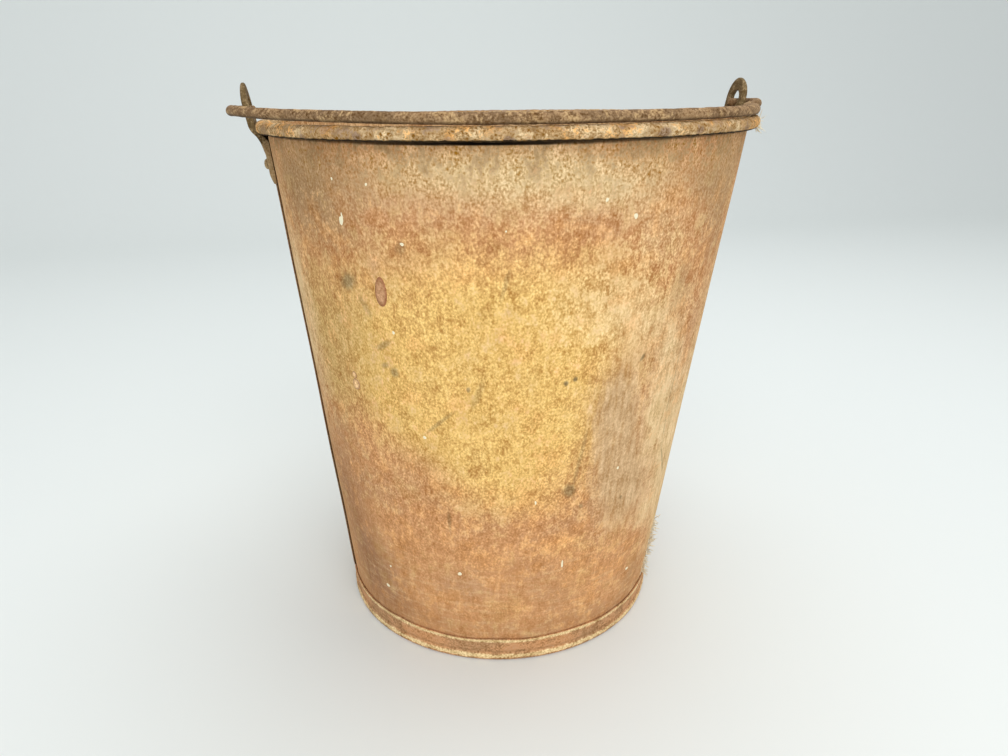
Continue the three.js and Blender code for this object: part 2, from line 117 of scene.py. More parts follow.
class FootSizes(bpy.types.PropertyGroup):
    """Sizes of the bottom and the foot hoop."""

    bottom: length("Bottom", "Height of the bottom at its edge", 10 * MM)
    crown: length("Crown", "How far the bottom's middle stands above its edge", 2 * MM)
    bend: length("Bend", "Outer radius where the bottom turns down", 2.5 * MM)
    hoop_height: length("Hoop height", "Height of the foot hoop", 16.5 * MM)
    hoop_sheet: length("Hoop sheet", "Thickness of the foot hoop", 1.0 * MM)
    bead_height: length("Bead height", "Height of the hoop's beaded lower edge", 6.5 * MM)
    bead_out: length("Bead out", "How far the bead stands out from the band", 1.2 * MM)
    lip_height: length("Lip height", "Height of the edge turned up inside the foot", 6 * MM)
    buckle: length("Buckle", "Height of the bottom's soft waves", 0.25 * MM)
    ripple: length("Ripple", "Height of the hoop's short ripples", 0.1 * MM)
    warp: length("Warp", "Height of the hoop's long ripples", 0.12 * MM)
    wear: length("Wear", "How unevenly the hoop's top edge is worn", 0.3 * MM)


class EarSizes(bpy.types.PropertyGroup):
    """Sizes of one ear and its rivets."""

    drop: length("Drop", "Rim top down to the ear's foot", 36.2 * MM)
    rise: length("Rise", "Rim top up to the ear's tip", 20.8 * MM)
    plate_width: length("Plate width", "Across the riveted plate", 28 * MM)
    plate_height: length("Plate height", "Height of the full-width plate", 17 * MM)
    corner: length("Corner", "Radius of the plate's lower corners", 5 * MM)
    neck_width: length("Neck width", "Across the neck", 19 * MM)
    eye_width: length("Eye width", "Across the eye", 20.5 * MM)
    hole_width: length("Hole width", "Across the eye's hole", 12 * MM)
    hole_height: length("Hole height", "Height of the eye's hole", 11 * MM)
    sill: length("Sill", "Rim top up to the bottom of the hole", 2.3 * MM)
    foot_sheet: length("Foot", "Thickness at the foot", 1.3 * MM)
    bevel: length("Bevel", "Height over which the foot thickens", 6 * MM)
    plate_sheet: length("Plate", "Thickness of the plate", 2.4 * MM)
    neck_sheet: length("Neck", "Thickness of the neck", 4.0 * MM)
    crank_sheet: length("Crank", "Thickness under the bead", 2.1 * MM)
    eye_sheet: length("Eye", "Thickness of the eye", 3.2 * MM)
    tip_sheet: length("Tip", "Thickness of the tip", 1.4 * MM)
    crank: angle("Crank", "Slope of the crank from upright", 45)
    lean: angle("Lean", "How far the eye leans out", 10.5)
    round: length("Rounding", "Length of the rounding at the ear's bends", 3 * MM)
    edge: length("Edge", "Radius of the worn edges", 0.8 * MM)
    rivet_pitch: length("Rivet pitch", "Between the two rivets", 15 * MM)
    rivet_rise: length("Rivet rise", "Ear's foot up to the rivets", 12 * MM)
    rivet: length("Rivet", "Thickness of a rivet's shank", 3.6 * MM)
    head_width: length("Head width", "Across a rivet's head", 6 * MM)
    head_height: length("Head height", "Height of a rivet's head", 2 * MM)
    peen_width: length("Peen width", "Across the hammered end", 5.5 * MM)
    peen_height: length("Peen height", "Height of the hammered end", 1.4 * MM)
    pits: length("Pits", "Depth of the ear's rust pits", 0.07 * MM)
    rivet_wear: number("Rivet wear", "How unevenly a rivet is worn, as a share of its width", 0.05)


class BailSizes(bpy.types.PropertyGroup):
    """Sizes of the bail."""

    rod: length("Rod", "Thickness of the rod", 5.6 * MM)
    flare_right: angle("Right flare", "Where the rod leaves the rim, from the line of the ears", 15)
    flare_left: angle("Left flare", "The same at the left, where the rod is bent", 40)
    bend: length("Bend", "Radius of the hook's bend", 5.5 * MM)
    flare_start: length("Flare start", "Short of the ear tip's reach", 3 * MM)
    flare_pull: number("Flare pull", "How slowly the flare leaves its ends", 0.45)
    hook_reach: length("Hook reach", "From the rod's side run in to the tip of each hook", 12.3 * MM)
    play: length("Play", "Room between each ear and the rod", 0.9 * MM)
    shift: length("Shift", "How far the bail lies over to the left", 0.4 * MM)
    bow: length("Bow", "How far the bent rod rises on its way to the left ear", 1.2 * MM)
    pits: length("Pits", "Depth of the rod's rust pits", 0.07 * MM)


class RustColours(bpy.types.PropertyGroup):
    """Colours of the rust, paint and lint, and the black used as painted shade."""

    rust: colour("Rust", "Orange-brown rust of the lower wall", "CB9566")
    ochre: colour("Ochre", "Golden rust of the middle", "E6BC70")
    olive: colour("Olive", "Dull yellow rust at the left", "C8A366")
    pale: colour("Pale", "Bleached rust under the rim", "DCBE8E")
    plum: colour("Plum", "Reddish bands", "C2946C")
    umber: colour("Umber", "Brown rust at the upper sides", "A6845E")
    mauve: colour("Mauve", "Greyish-brown rust low at the left", "9E7556")
    amber: colour("Amber", "Bright orange rust near the foot", "E0A262")
    stone: colour("Stone", "Grey rubbed rust right of the middle", "C9A67C")
    sand: colour("Sand", "Pale rust at the right", "E6C696")
    slate: colour("Slate", "Grey spots", "84704E")
    # Dark specks of rust, also used as painted shade in the crease above the hoop's bead and in the darkening
    # towards the rim.
    speck_and_shade: colour("Speck", "Dark specks", "7A5C38")
    # Pit: the black of painted shade, used beside the seam, above the hoop, in the line under the bead, on
    # the rim's underside and inside the roll, and under the bail.
    pit: colour("Pit", "Bottoms of pits and crevices", "0C0704")
    tan: colour("Tan", "Common scale of the rim", "B8966A")
    crust: colour("Crust", "Orange scale of the rim", "DE9F54")
    straw: colour("Straw", "Pale scale of the rim", "E8CDA0")
    scab: colour("Scab", "Purple-grey scale of the rim", "8F735A")
    rod: colour("Rod", "Brown rust of the bail", "806446")
    rod_pale: colour("Rod flecks", "Pale flecks on the bail", "B08E60")
    iron: colour("Iron", "Dark rust of the ears", "6E5A3A")
    worn: colour("Worn", "Rubbed places of the ears", "A68C66")
    hoop: colour("Hoop", "Brown rust of the foot hoop", "B48A62")
    # Pale dirt on the hoop, also a painted highlight along its top edge and over its bead's crest.
    dust: colour("Dust", "Pale dust on the edges", "E8CC96")
    paint: colour("Paint", "Splashes of old paint", "F3E9C8")
    clot: colour("Clot", "Edge of the red blister", "96603E")
    blister: colour("Blister", "Dried drop of dark red rust", "C09068")
    drop: colour("Drop", "Dried drops of light rust", "EBC08A")
    lint: colour("Lint", "Fibres caught on the rust", "F0E6CC")


class StageSettings(bpy.types.PropertyGroup):
    """The camera, the lights and the floor."""

    turn: angle("Turn", "How far the camera stands to the left of the front", 12.3)
    pitch: angle("Pitch", "How far the camera looks down", 20.64)
    distance: length("Distance", "From the foot's middle to the camera", 501 * MM)
    aside: length("Aside", "How far the camera stands to its right", 3.27 * MM)
    eye_height: length("Eye height", "Height of the camera", 341.5 * MM)
    lens: number("Lens", "Focal length in millimetres", 27.04)
    floor: colour("Floor", "Floor and backdrop", "E6EAE8")
    world: number("World", "Strength of the room's light", 0.66)
    key: number("Key", "Power of the front light in watts", 21.5)
    top: number("Top", "Power of the overhead light in watts", 12)


# Shapes

def wall_angle(body):
    """Slope of the wall: the line from its foot that touches the inside of the roll."""
    roll, _, out, up = bead_circle(body)
    across = out - body.floor_width / 2
    return math.atan2(across, up) - math.asin(roll / math.hypot(across, up))


def wall_radius(body, z, out=0.0):
    """Radius at height z of a line parallel to the wall, so far out from its outer face."""
    slope = wall_angle(body)
    return body.floor_width / 2 + z * math.tan(slope) + out / math.cos(slope)


def wall_point(body, z, out=0.0):
    """The point (radius, height) on that line."""
    return wall_radius(body, z, out), z


def bead_circle(body):
    """Radius of the roll's inside, radius of the bead, and the bead's middle as radius and height."""
    roll = body.wire / 2 + body.wire_play
    bead = roll + body.sheet
    return roll, bead, body.rim_width / 2 - bead, body.height - bead


def settle(body, points):
    """Leans the pail and tilts its rim: x moves by the lean's share of the height, z by the tilt times x."""
    x, y, z = points[..., 0], points[..., 1], points[..., 2]
    up = z / body.height
    return np.stack([x + body.lean * (up - 1), y, z + up * body.tilt * x], axis=-1)


def waves(points, size, seed):
    """Smooth random relief of about -1 to 1: plane waves of one size in random directions, added up."""
    rng = np.random.default_rng(seed)
    count = 32
    along = rng.normal(size=(count, 3))
    along /= np.linalg.norm(along, axis=1, keepdims=True)
    pace = 2 * math.pi / (size * rng.uniform(0.7, 1.5, count))
    start = rng.uniform(0, 2 * math.pi, count)
    total = np.zeros(points.shape[:-1])
    for k in range(count):
        total += np.sin(points @ along[k] * pace[k] + start[k])
    return total / math.sqrt(count)


def smooth(low, high, value):
    """A soft step from 0 at low to 1 at high."""
    share = np.clip((value - low) / (high - low), 0, 1)
    return share * share * (3 - 2 * share)


def away(angles):
    """The level direction away from the axis at each angle: 0 is the front, and it grows to the right."""
    return np.stack([np.sin(angles), -np.cos(angles), 0 * angles], axis=-1)


def turn(profile, angles):
    """Carries a profile of (radius, height) round the upright axis."""
    radius = profile[:, 0][:, None]
    height = np.broadcast_to(profile[:, 1][:, None], (len(profile), len(angles)))
    return np.stack([radius * np.sin(angles), -radius * np.cos(angles), height], axis=-1)


def full_circle(count):
    """Evenly spaced angles all the way round, from the back."""
    return np.linspace(-math.pi, math.pi, count, endpoint=False)


def arc(middle, radius, start, end, count):
    """Points of (radius, height) on part of a circle."""
    along = np.linspace(start, end, count)
    return np.stack([middle[0] + radius * np.cos(along), middle[1] + radius * np.sin(along)], axis=-1)


def line(start, end, count):
    """Points evenly along a straight line, both ends included."""
    share = np.linspace(0, 1, count)[:, None]
    return np.array(start) * (1 - share) + np.array(end) * share


def bezier(points, count):
    """Points on a Bezier curve, quadratic or cubic by how many control points it has."""
    points = np.array(points, dtype=float)
    order = len(points) - 1
    share = np.linspace(0, 1, count)[:, None]
    return sum(
        math.comb(order, k) * share**k * (1 - share) ** (order - k) * points[k] for k in range(order + 1)
    )


def join(*runs):
    """One outline from several runs, without repeating the points where they meet."""
    kept = [runs[0]]
    for run in runs[1:]:
        kept.append(run[1:] if np.allclose(run[0], kept[-1][-1], atol=1e-9) else run)
    return np.concatenate(kept)


def new_piece(name, points, body, materials, replaced=(), closed_rows=True, weld=False, layers=None,
              chart=None, faces_slot=None):
    """A piece from a grid of points: faces join each point to the next along its row and to the next row.

    Columns always close round, and a stack of grids makes one piece of many parts. layers are numbers at
    each point, chart is (across, up) for a UV map, and faces_slot gives each row of faces its material.
    """
    rows, columns = points.shape[-3:-1]
    i, j = np.meshgrid(np.arange(rows if closed_rows else rows - 1), np.arange(columns), indexing="ij")
    i2, j2 = (i + 1) % rows, (j + 1) % columns
    faces = np.stack([i * columns + j, i * columns + j2, i2 * columns + j2, i2 * columns + j], axis=-1)
    first = np.arange(points.size // (3 * rows * columns)) * rows * columns
    faces = first[:, None, None, None] + faces
    mesh = bpy.data.meshes.new(name)
    mesh.from_pydata(points.reshape(-1, 3).tolist(), [], faces.reshape(-1, 4).tolist())
    for layer, values in (layers or {}).items():
        store = mesh.attributes.new(layer, "FLOAT", "POINT")
        spread = np.broadcast_to(values, points.shape[:-1])
        store.data.foreach_set("value", spread.astype(np.float32).ravel())
    if chart is not None:
        across, up = chart
        next_row = np.append(up, up[:1])
        u = np.stack([across[j], across[j + 1], across[j + 1], across[j]], axis=-1)
        v = np.stack([up[i], up[i], next_row[i + 1], next_row[i + 1]], axis=-1)
        store = mesh.uv_layers.new(name="chart")
        store.data.foreach_set("uv", np.stack([u, v], axis=-1).astype(np.float32).ravel())
    for material in materials:
        mesh.materials.append(material)
    if faces_slot is not None:
        mesh.polygons.foreach_set("material_index", np.repeat(faces_slot[: len(i)], columns).astype(np.int32))
    if weld:
        net = bmesh.new()
        net.from_mesh(mesh)
        bmesh.ops.remove_doubles(net, verts=net.verts, dist=1e-6)
        net.to_mesh(mesh)
        net.free()
    mesh.shade_smooth()
    mesh.update()
    piece = bpy.data.objects.new(name, mesh)
    bpy.context.scene.collection.objects.link(piece)
    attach(piece, body)
    if replaced:
        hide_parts(*replaced)
    return piece


# Body

# Runs of the body's section, in order, and the band under the bead where its rows lie closer.
WALL_OUTSIDE, ROLL_INSIDE, LIP, ROLL_OUTSIDE, WALL_INSIDE = range(5)
SHADE_BAND = 3 * MM

# Where the painted shadow line under the bead is thickest, and how far it reaches to both sides, in degrees.
SHADE_MIDDLE = -18
SHADE_REACH = 38

# Heights in millimetres between which dark and pale rust specks, with painted shade under the bead, grow up
# to the rim, and scratches down to the foot.
UPPER_SPECKS_AND_SHADE_HEIGHTS = (282, 322)
LOW_HEIGHTS = (130, 50)

# Soft patches of each rust on the wall: angle from the front in degrees, height in millimetres, their
# reach in both, and how strong each is. Those beyond 90 degrees lie round the back.
WALL_PATCHES = {
    "ochre": [
        (-30, 212, 27, 42, 0.85),
        (-10, 182, 26, 46, 0.9),
        (-14, 148, 24, 24, 0.5),
        (-40, 185, 14, 26, 0.4),
        (6, 234, 26, 36, 0.7),
        (-24, 258, 24, 22, 0.3),
        (-8, 124, 14, 14, 0.35),
        (-46, 214, 10, 30, 0.35),
        (-14, 160, 26, 14, 0.3),
        (150, 200, 45, 70, 0.7),
        (-140, 230, 38, 60, 0.6),
    ],
    "olive": [
        (-64, 215, 12, 46, 0.9),
        (-50, 228, 9, 32, 0.5),
        (-60, 178, 10, 20, 0.4),
        (-110, 200, 24, 60, 0.6),
    ],
    "sand": [
        (36, 162, 6, 40, 0.8),
        (46, 132, 8, 50, 0.85),
        (58, 122, 12, 70, 0.9),
        (23, 94, 7, 7, 0.55),
        (38, 88, 6, 10, 0.7),
        (62, 60, 12, 40, 0.8),
        (24, 222, 14, 22, 0.6),
        (10, 240, 14, 22, 0.45),
        (60, 220, 14, 60, 0.5),
        (35, 202, 6, 16, 0.5),
        (31, 168, 5, 40, 0.5),
        (-77, 215, 8, 70, 1.0),
    ],
    "pale": [
        (-28, 306, 24, 14, 0.7),
        (0, 304, 22, 15, 0.9),
        (14, 296, 12, 14, 0.35),
        (24, 270, 9, 20, 0.5),
        (44, 298, 12, 26, 0.45),
        (120, 300, 40, 40, 0.7),
        (-120, 310, 36, 26, 0.6),
        (180, 315, 40, 22, 0.6),
    ],
    "plum": [
        (8, 281, 7, 5, 0.95),
        (-8, 285, 14, 8, 0.3),
        (-36, 291, 18, 12, 0.5),
        (-35, 264, 9, 7, 0.35),
        (-41.6, 258, 1.3, 6, 0.6),
        (-36, 138, 11, 20, 0.6),
        (45, 210, 4, 11, 0.8),
        (20, 207, 7, 5, 0.45),
        (-26, 58, 12, 14, 0.8),
        (6, 50, 10, 14, 0.7),
        (100, 250, 40, 20, 0.5),
        (-150, 280, 40, 18, 0.5),
    ],
    "umber": [
        (-64, 294, 13, 28, 0.85),
        (-50, 306, 14, 16, 0.65),
        (-52, 276, 8, 16, 0.35),
        (35, 296, 7, 12, 0.6),
        (20, 304, 13, 18, 0.35),
        (46, 284, 10, 36, 0.55),
        (33, 246, 4, 16, 0.45),
        (56, 312, 16, 14, 0.3),
        (40, 36, 8, 14, 0.55),
        (-20, 26, 40, 7, 0.35),
        (-110, 120, 40, 90, 0.6),
        (110, 90, 40, 80, 0.6),
        (180, 60, 50, 60, 0.7),
    ],
    "mauve": [
        (-60, 46, 14, 36, 1.0),
        (-68, 105, 12, 40, 0.7),
        (-40, 28, 18, 10, 0.5),
        (-8, 74, 4, 9, 0.4),
        (30, 22, 14, 8, 0.4),
        (-25, 56, 10, 12, 0.3),
        (5, 52, 9, 12, 0.25),
    ],
    "amber": [
        (5, 88, 7, 6, 0.9),
        (-18, 80, 8, 7, 0.6),
        (13, 62, 9, 20, 0.5),
        (-8, 42, 8, 8, 0.4),
    ],
    "stone": [
        (17, 182, 8, 28, 1.0),
        (21, 142, 9, 30, 1.1),
        (28, 112, 10, 24, 1.0),
        (95, 180, 14, 80, 0.6),
        (-160, 120, 18, 70, 0.6),
    ],
}

# Purple-grey scabs on the rim: angle from the front and angle round the bead in degrees, their reach in
# both, and how strong each is.
RIM_SCABS = [
    (-12.2, -42, 0.9, 34, 1.0),
    (16.4, -18, 1.8, 45, 0.9),
    (25.5, -8, 1.5, 40, 0.8),
    (-40.0, -20, 1.4, 40, 0.8),
    (-54.0, -40, 2.0, 40, 0.6),
    (8.0, 40, 2.2, 30, 0.5),
    (44.0, -30, 1.6, 40, 0.6),
    (95.0, 0, 6.0, 60, 0.7),
    (180.0, 60, 60.0, 90, 0.75),
]


def patches(spots, angles, heights):
    """How strongly soft oval patches cover each point: each fades out as a bell from its middle."""
    total = np.zeros(np.broadcast(angles, heights).shape)
    for middle, level, wide, tall, strength in spots:
        aside = (angles - middle + 180) % 360 - 180
        total += strength * np.exp(-((aside / wide) ** 2) - ((heights - level) / tall) ** 2)
    return np.clip(total, 0, 1)


def wall_dents(body, foot, points, height):
    """How far the wall is dented out or in: long waves that fade out towards the rim and the hoop."""
    fade = smooth(body.height, 0.8 * body.height, height)
    fade = fade * smooth(foot.hoop_height, 3 * foot.hoop_height, height)
    return body.dents * waves(points, 110 * MM, 1) * fade


def body_angles(body):
    """Angles round the body, with extra ones where the seam's edges need them."""
    half = body.seam_width / body.floor_width
    seam = -math.pi / 2 + np.linspace(-half, half, SEAM_POINTS)
    even = full_circle(ROUND["body"])
    return np.sort(np.concatenate([even[np.abs(even + math.pi / 2) > half], seam]))


def body_profile(body, foot):
    """The folded sheet's section, as runs: wall outside, roll inside, lip, roll outside, wall inside."""
    roll, bead, out, up = bead_circle(body)
    slope = wall_angle(body)
    low = foot.hoop_sheet + body.clearance
    start = math.pi - slope
    end = start + math.acos((roll - body.lip_gap) / bead) - 2 * math.pi
    inside = arc((out, up), roll, start, end, 9)
    outside = arc((out, up), bead, end, start, 46)
    lip = line(inside[-1], outside[0], 4)[1:-1]
    shade = wall_point(body, up - bead - SHADE_BAND)
    return [
        join(line(wall_point(body, low), shade, 40), line(shade, inside[0], 13)),
        inside[1:],
        lip,
        outside,
        line(outside[-1], wall_point(body, low, -body.sheet), 13)[1:],
    ]


def build_body(body, foot, materials):
    """The wall with its seam and its rolled rim, as one folded sheet.

    The section is carried round the axis. Dents move it out and in by long waves, rust scale moves the
    rim's outside along its own normal by short ones, and the lock seam stands out from a strip of the wall.
    """
    runs = body_profile(body, foot)
    profile = np.concatenate(runs)
    part = np.repeat(np.arange(len(runs)), [len(run) for run in runs])
    angles = body_angles(body)
    points = turn(profile, angles)
    outward = away(angles)
    height = profile[:, 1][:, None]
    points = points + wall_dents(body, foot, points, height)[..., None] * outward
    points = points + seam_relief(body, foot, profile, part, angles)[..., None] * outward

    _, bead, out, up = bead_circle(body)
    rim = part == ROLL_OUTSIDE
    normal = np.stack([(profile[rim, 0] - out) / bead, (profile[rim, 1] - up) / bead], axis=-1)
    rise = body.scale * rim_scale(points[rim])
    points[rim] += rise[..., None] * (normal[:, :1, None] * outward)
    points[rim, :, 2] += rise * normal[:, 1:]

    degrees = np.degrees(angles)
    level = height / MM
    layers = {rust: patches(spots, degrees, level) for rust, spots in WALL_PATCHES.items()}
    layers["inside"] = (part == WALL_INSIDE)[:, None]
    # Painted shade: black beside the seam, just above the hoop, and in a line under the bead.
    layers["crevice"] = crevice(body, foot, profile, part, angles)
    layers["high"] = np.zeros(points.shape[:2])
    layers["high"][rim] = rim_scale(points[rim])
    around = np.degrees(np.arctan2(profile[:, 1] - up, profile[:, 0] - out))[:, None]
    layers["scab"] = patches(RIM_SCABS, degrees, around) * rim[:, None]
    # Painted shade: black on the bead's underside, and on the roll's inside and lip.
    hidden = (part == ROLL_INSIDE) | (part == LIP)
    under = np.where(rim, smooth(0.5, 0.98, -np.sin(np.radians(around[:, 0]))), hidden)
    layers["under"] = under[:, None]
    # Dark and pale rust specks, with painted shade under the bead, growing up to the rim.
    layers["grime"] = smooth(*UPPER_SPECKS_AND_SHADE_HEIGHTS, level) * (part == WALL_OUTSIDE)[:, None]
    layers["low"] = smooth(*LOW_HEIGHTS, level)
    across = np.append(angles, angles[0] + 2 * math.pi) * CHART_RADIUS
    crusted = rim | hidden
    # The roll's last row of points starts the first faces of the wall's inside, which has no crust.
    crusted[np.flatnonzero(rim)[-1]] = False
    return new_piece(
        "pail_body", settle(body, points), "bucket", materials, ["body_sheet"],
        layers=layers, chart=(across, profile[:, 1]), faces_slot=crusted,
    )


def seam_distance(profile, angles):
    """Distance round the wall from the middle of the seam."""
    return np.abs(angles + math.pi / 2) * profile[:, :1]


def seam_relief(body, foot, profile, part, angles):
    """Height of the lock seam: full in its middle, falling at its edges, from the hoop up to the bead."""
    edge = 0.8 * MM
    half = body.seam_width / 2
    across = 1 - smooth(half - edge, half, seam_distance(profile, angles))
    _, bead, _, up = bead_circle(body)
    height = profile[:, 1][:, None]
    along = (height > foot.hoop_height) & (height < up - bead)
    return body.seam_height * across * along * (part == WALL_OUTSIDE)[:, None]


def crevice(body, foot, profile, part, angles):
    """Where painted shade darkens the wall towards black: beside the seam, above the hoop, and in a line
    under the bead.

    That line is thickest a little left of the front and thins out as a bell to both sides.
    """
    _, bead, _, up = bead_circle(body)
    height = profile[:, 1][:, None]
    side = seam_distance(profile, angles) - body.seam_width / 2
    beside = np.exp(-((side / (0.9 * MM)) ** 2)) * (height < up - bead)
    bell = np.exp(-(((np.degrees(angles) - SHADE_MIDDLE) / SHADE_REACH) ** 2))
    thick = 0.6 * MM + 0.7 * MM * bell + 0.06 * MM * waves(turn(profile[:1], angles), 14 * MM, 6)
    under = smooth(up - bead - thick - 0.5 * MM, up - bead - thick, height) * (0.4 + 0.6 * bell)
    above = 0.12 * (1 - smooth(foot.hoop_height, foot.hoop_height + 3 * MM, height))
    return np.clip(beside + under + above, 0, 1) * (part == WALL_OUTSIDE)[:, None]


def rim_scale(points):
    """Flaking rust, from about -1 to 1: short waves flattened into plates, with coarser ones under them."""
    plates = np.tanh(2.2 * waves(points, 4.5 * MM, 3))
    coarse = waves(points, 14 * MM, 4)
    grain = waves(points, 2.4 * MM, 5)
    return np.clip(0.55 * plates + 0.35 * coarse + 0.2 * grain, -1.2, 1.0)


def build_wire(body, materials):
    """The wire in the rim: a circle carried round."""
    _, _, out, up = bead_circle(body)
    profile = arc((out, up), body.wire / 2, 0, 2 * math.pi, 17)[:-1]
    points = turn(profile, full_circle(ROUND["wire"]))
    return new_piece("rim_wire_ring", settle(body, points), "bucket", materials, ["rim_wire"])


# Bottom and hoop

def build_bottom(body, foot, materials):
    """The crowned bottom with its turned-down edge: its section carried round, from pole to pole."""
    outer = -body.sheet - body.clearance
    low = foot.hoop_sheet + body.clearance
    slope = wall_angle(body)
    bend_z = foot.bottom - foot.bend
    bend_r = wall_radius(body, bend_z, outer - foot.bend)
    middle = foot.bottom + foot.crown
    under = middle - body.sheet
    profile = join(
        bezier([(0, under), (bend_r / 2, under), (bend_r, foot.bottom - body.sheet)], 26),
        arc((bend_r, bend_z), foot.bend - body.sheet, math.pi / 2, -slope, 6),
        np.array([wall_point(body, low, outer - body.sheet), wall_point(body, low, outer)]),
        arc((bend_r, bend_z), foot.bend, -slope, math.pi / 2, 8),
        bezier([(bend_r, foot.bottom), (bend_r / 2, middle), (0, middle)], 40),
    )
    points = turn(profile, full_circle(ROUND["bottom"]))
    edge = smooth(0, 60 * MM, bend_r - profile[:, :1])
    points[..., 2] += foot.buckle * waves(points, 45 * MM, 7) * edge
    return new_piece(
        "pail_bottom", settle(body, points), "bucket", materials, ["bottom_disc"],
        closed_rows=False, weld=True,
    )


def build_hoop(body, foot, materials):
    """The foot hoop: band, bead, sole and inner lip as one section carried round, with a worn top edge."""
    sheet = foot.hoop_sheet
    inner = body.clearance
    outer = inner + sheet
    lip_out = -2 * (body.sheet + body.clearance)
    lip_in = lip_out - sheet
    half = foot.bead_height / 2
    crest = wall_radius(body, half, outer + foot.bead_out)
    at = partial(wall_point, body)
    top = foot.hoop_height
    runs = [
        line(at(sheet, inner), at(sheet, lip_out), 3),
        line(at(sheet, lip_out), at(foot.lip_height, lip_out), 3),
        line(at(foot.lip_height, lip_out), at(foot.lip_height, lip_in), 3),
        line(at(foot.lip_height, lip_in), at(sheet, lip_in), 4),
        bezier([at(sheet, lip_in), at(0, lip_in), at(0, lip_out)], 6),
        line(at(0, lip_out), at(0, inner), 4),
        bezier([at(0, inner), (crest, 0), (crest, half)], 12),
        bezier([(crest, half), (crest, foot.bead_height - 1 * MM), at(foot.bead_height, outer)], 12),
        line(at(foot.bead_height, outer), at(top - sheet / 2, outer), 12),
        bezier([at(top - sheet / 2, outer), at(top, outer), at(top, inner + sheet / 2)], 6),
        line(at(top, inner + sheet / 2), at(top, inner), 2),
        line(at(top, inner), at(sheet, inner), 6)[:-1],
    ]
    profile = join(*runs)
    angles = full_circle(ROUND["hoop"])
    points = turn(profile, angles)
    outward = away(angles)
    height = profile[:, 1][:, None]
    shown = (profile[:, 0] > wall_radius(body, profile[:, 1], outer) - 0.05 * MM)[:, None]
    ripple = foot.ripple * waves(points, 9 * MM, 8) + foot.warp * waves(points, 40 * MM, 9)
    points += (ripple * shown * smooth(0, half, height))[..., None] * outward
    worn = smooth(top - 4 * MM, top, height) * foot.wear
    points[..., 2] += worn * waves(points * [1, 1, 0], 24 * MM, 10)
    # Painted highlight with pale dirt: one band along the hoop's top edge and another over the bead's crest.
    top_edge_highlight = smooth(top - 3.4 * MM, top - 1.4 * MM, height) * shown
    crest_dust_and_highlight = np.exp(-(((height - 0.55 * foot.bead_height) / (1.9 * MM)) ** 2)) * shown
    # Painted shade in the crease just above the bead.
    crease_shade = np.exp(-(((height - foot.bead_height - 0.3 * MM) / (0.7 * MM)) ** 2)) * shown
    layers = {"dust": np.maximum(top_edge_highlight, crest_dust_and_highlight), "crevice": crease_shade}
    return new_piece(
        "pail_hoop", settle(body, points), "bucket", materials, ["foot_hoop"], layers=layers
    )


# Ears

def meeting(body, ear, out, radius):
    """Where a line parallel to the wall meets the crank's line, which touches a circle round the bead."""
    _, _, bead_r, bead_z = bead_circle(body)
    slope = wall_angle(body)
    wall = np.array([math.cos(slope), -math.sin(slope)])
    crank = np.array([math.cos(ear.crank), -math.sin(ear.crank)])
    sides = np.array([body.floor_width / 2 * wall[0] + out, bead_r * crank[0] + bead_z * crank[1] + radius])
    return np.linalg.solve(np.stack([wall, crank]), sides)


def eye_point(body, ear, out, z):
    """A point of the leaning eye from the side: so far out from the bead's middle, at height z."""
    _, _, bead_r, bead_z = bead_circle(body)
    return np.array([bead_r + out / math.cos(ear.lean) + (z - bead_z) * math.tan(ear.lean), z])


def ear_heights(body, ear):
    """Heights of the ear's foot, plate top, hole middle and tip."""
    low = body.height - ear.drop
    hole = body.height + ear.sill
    return low, low + ear.plate_height, hole + ear.hole_width / 2, body.height + ear.rise


def eye_tip(body, ear):
    """Control points of the curve by which the eye's outer face thins from its shoulder to its tip."""
    _, _, middle, tip = ear_heights(body, ear)
    seat = bead_circle(body)[1] + body.clearance
    eye = partial(eye_point, body, ear, seat + ear.eye_sheet)
    return eye(middle), eye((middle + tip) / 2), eye_point(body, ear, seat + ear.tip_sheet, tip)


def ear_front(body, ear):
    """The ear's outer face from the side, from foot to tip: plate, neck, crank and eye with rounded bends."""
    low, plate_top, _, _ = ear_heights(body, ear)
    _, bead, bead_r, bead_z = bead_circle(body)
    seat = bead + body.clearance
    eye = partial(eye_point, body, ear, seat + ear.eye_sheet)
    plate = body.clearance + ear.plate_sheet
    foot = wall_point(body, low, body.clearance + ear.foot_sheet)
    thick = wall_point(body, low + ear.bevel, plate)
    top = wall_point(body, plate_top, plate)
    bend = ear.round * np.array([math.sin(ear.crank), math.cos(ear.crank)])
    neck = meeting(body, ear, body.clearance + ear.neck_sheet, seat + ear.crank_sheet)
    crank_r = bead_r + (seat + ear.crank_sheet) / math.cos(ear.crank)
    elbow_z = bead_z + (eye(bead_z)[0] - crank_r) / (math.tan(ear.crank) - math.tan(ear.lean))
    elbow = eye(elbow_z)
    return join(
        line(foot, thick, 4),
        line(thick, top, 4),
        bezier([top, neck, neck + bend], 12),
        line(neck + bend, elbow - bend, 4),
        bezier([elbow - bend, elbow, eye(elbow_z + ear.round)], 12),
        bezier(eye_tip(body, ear), 10),
    )


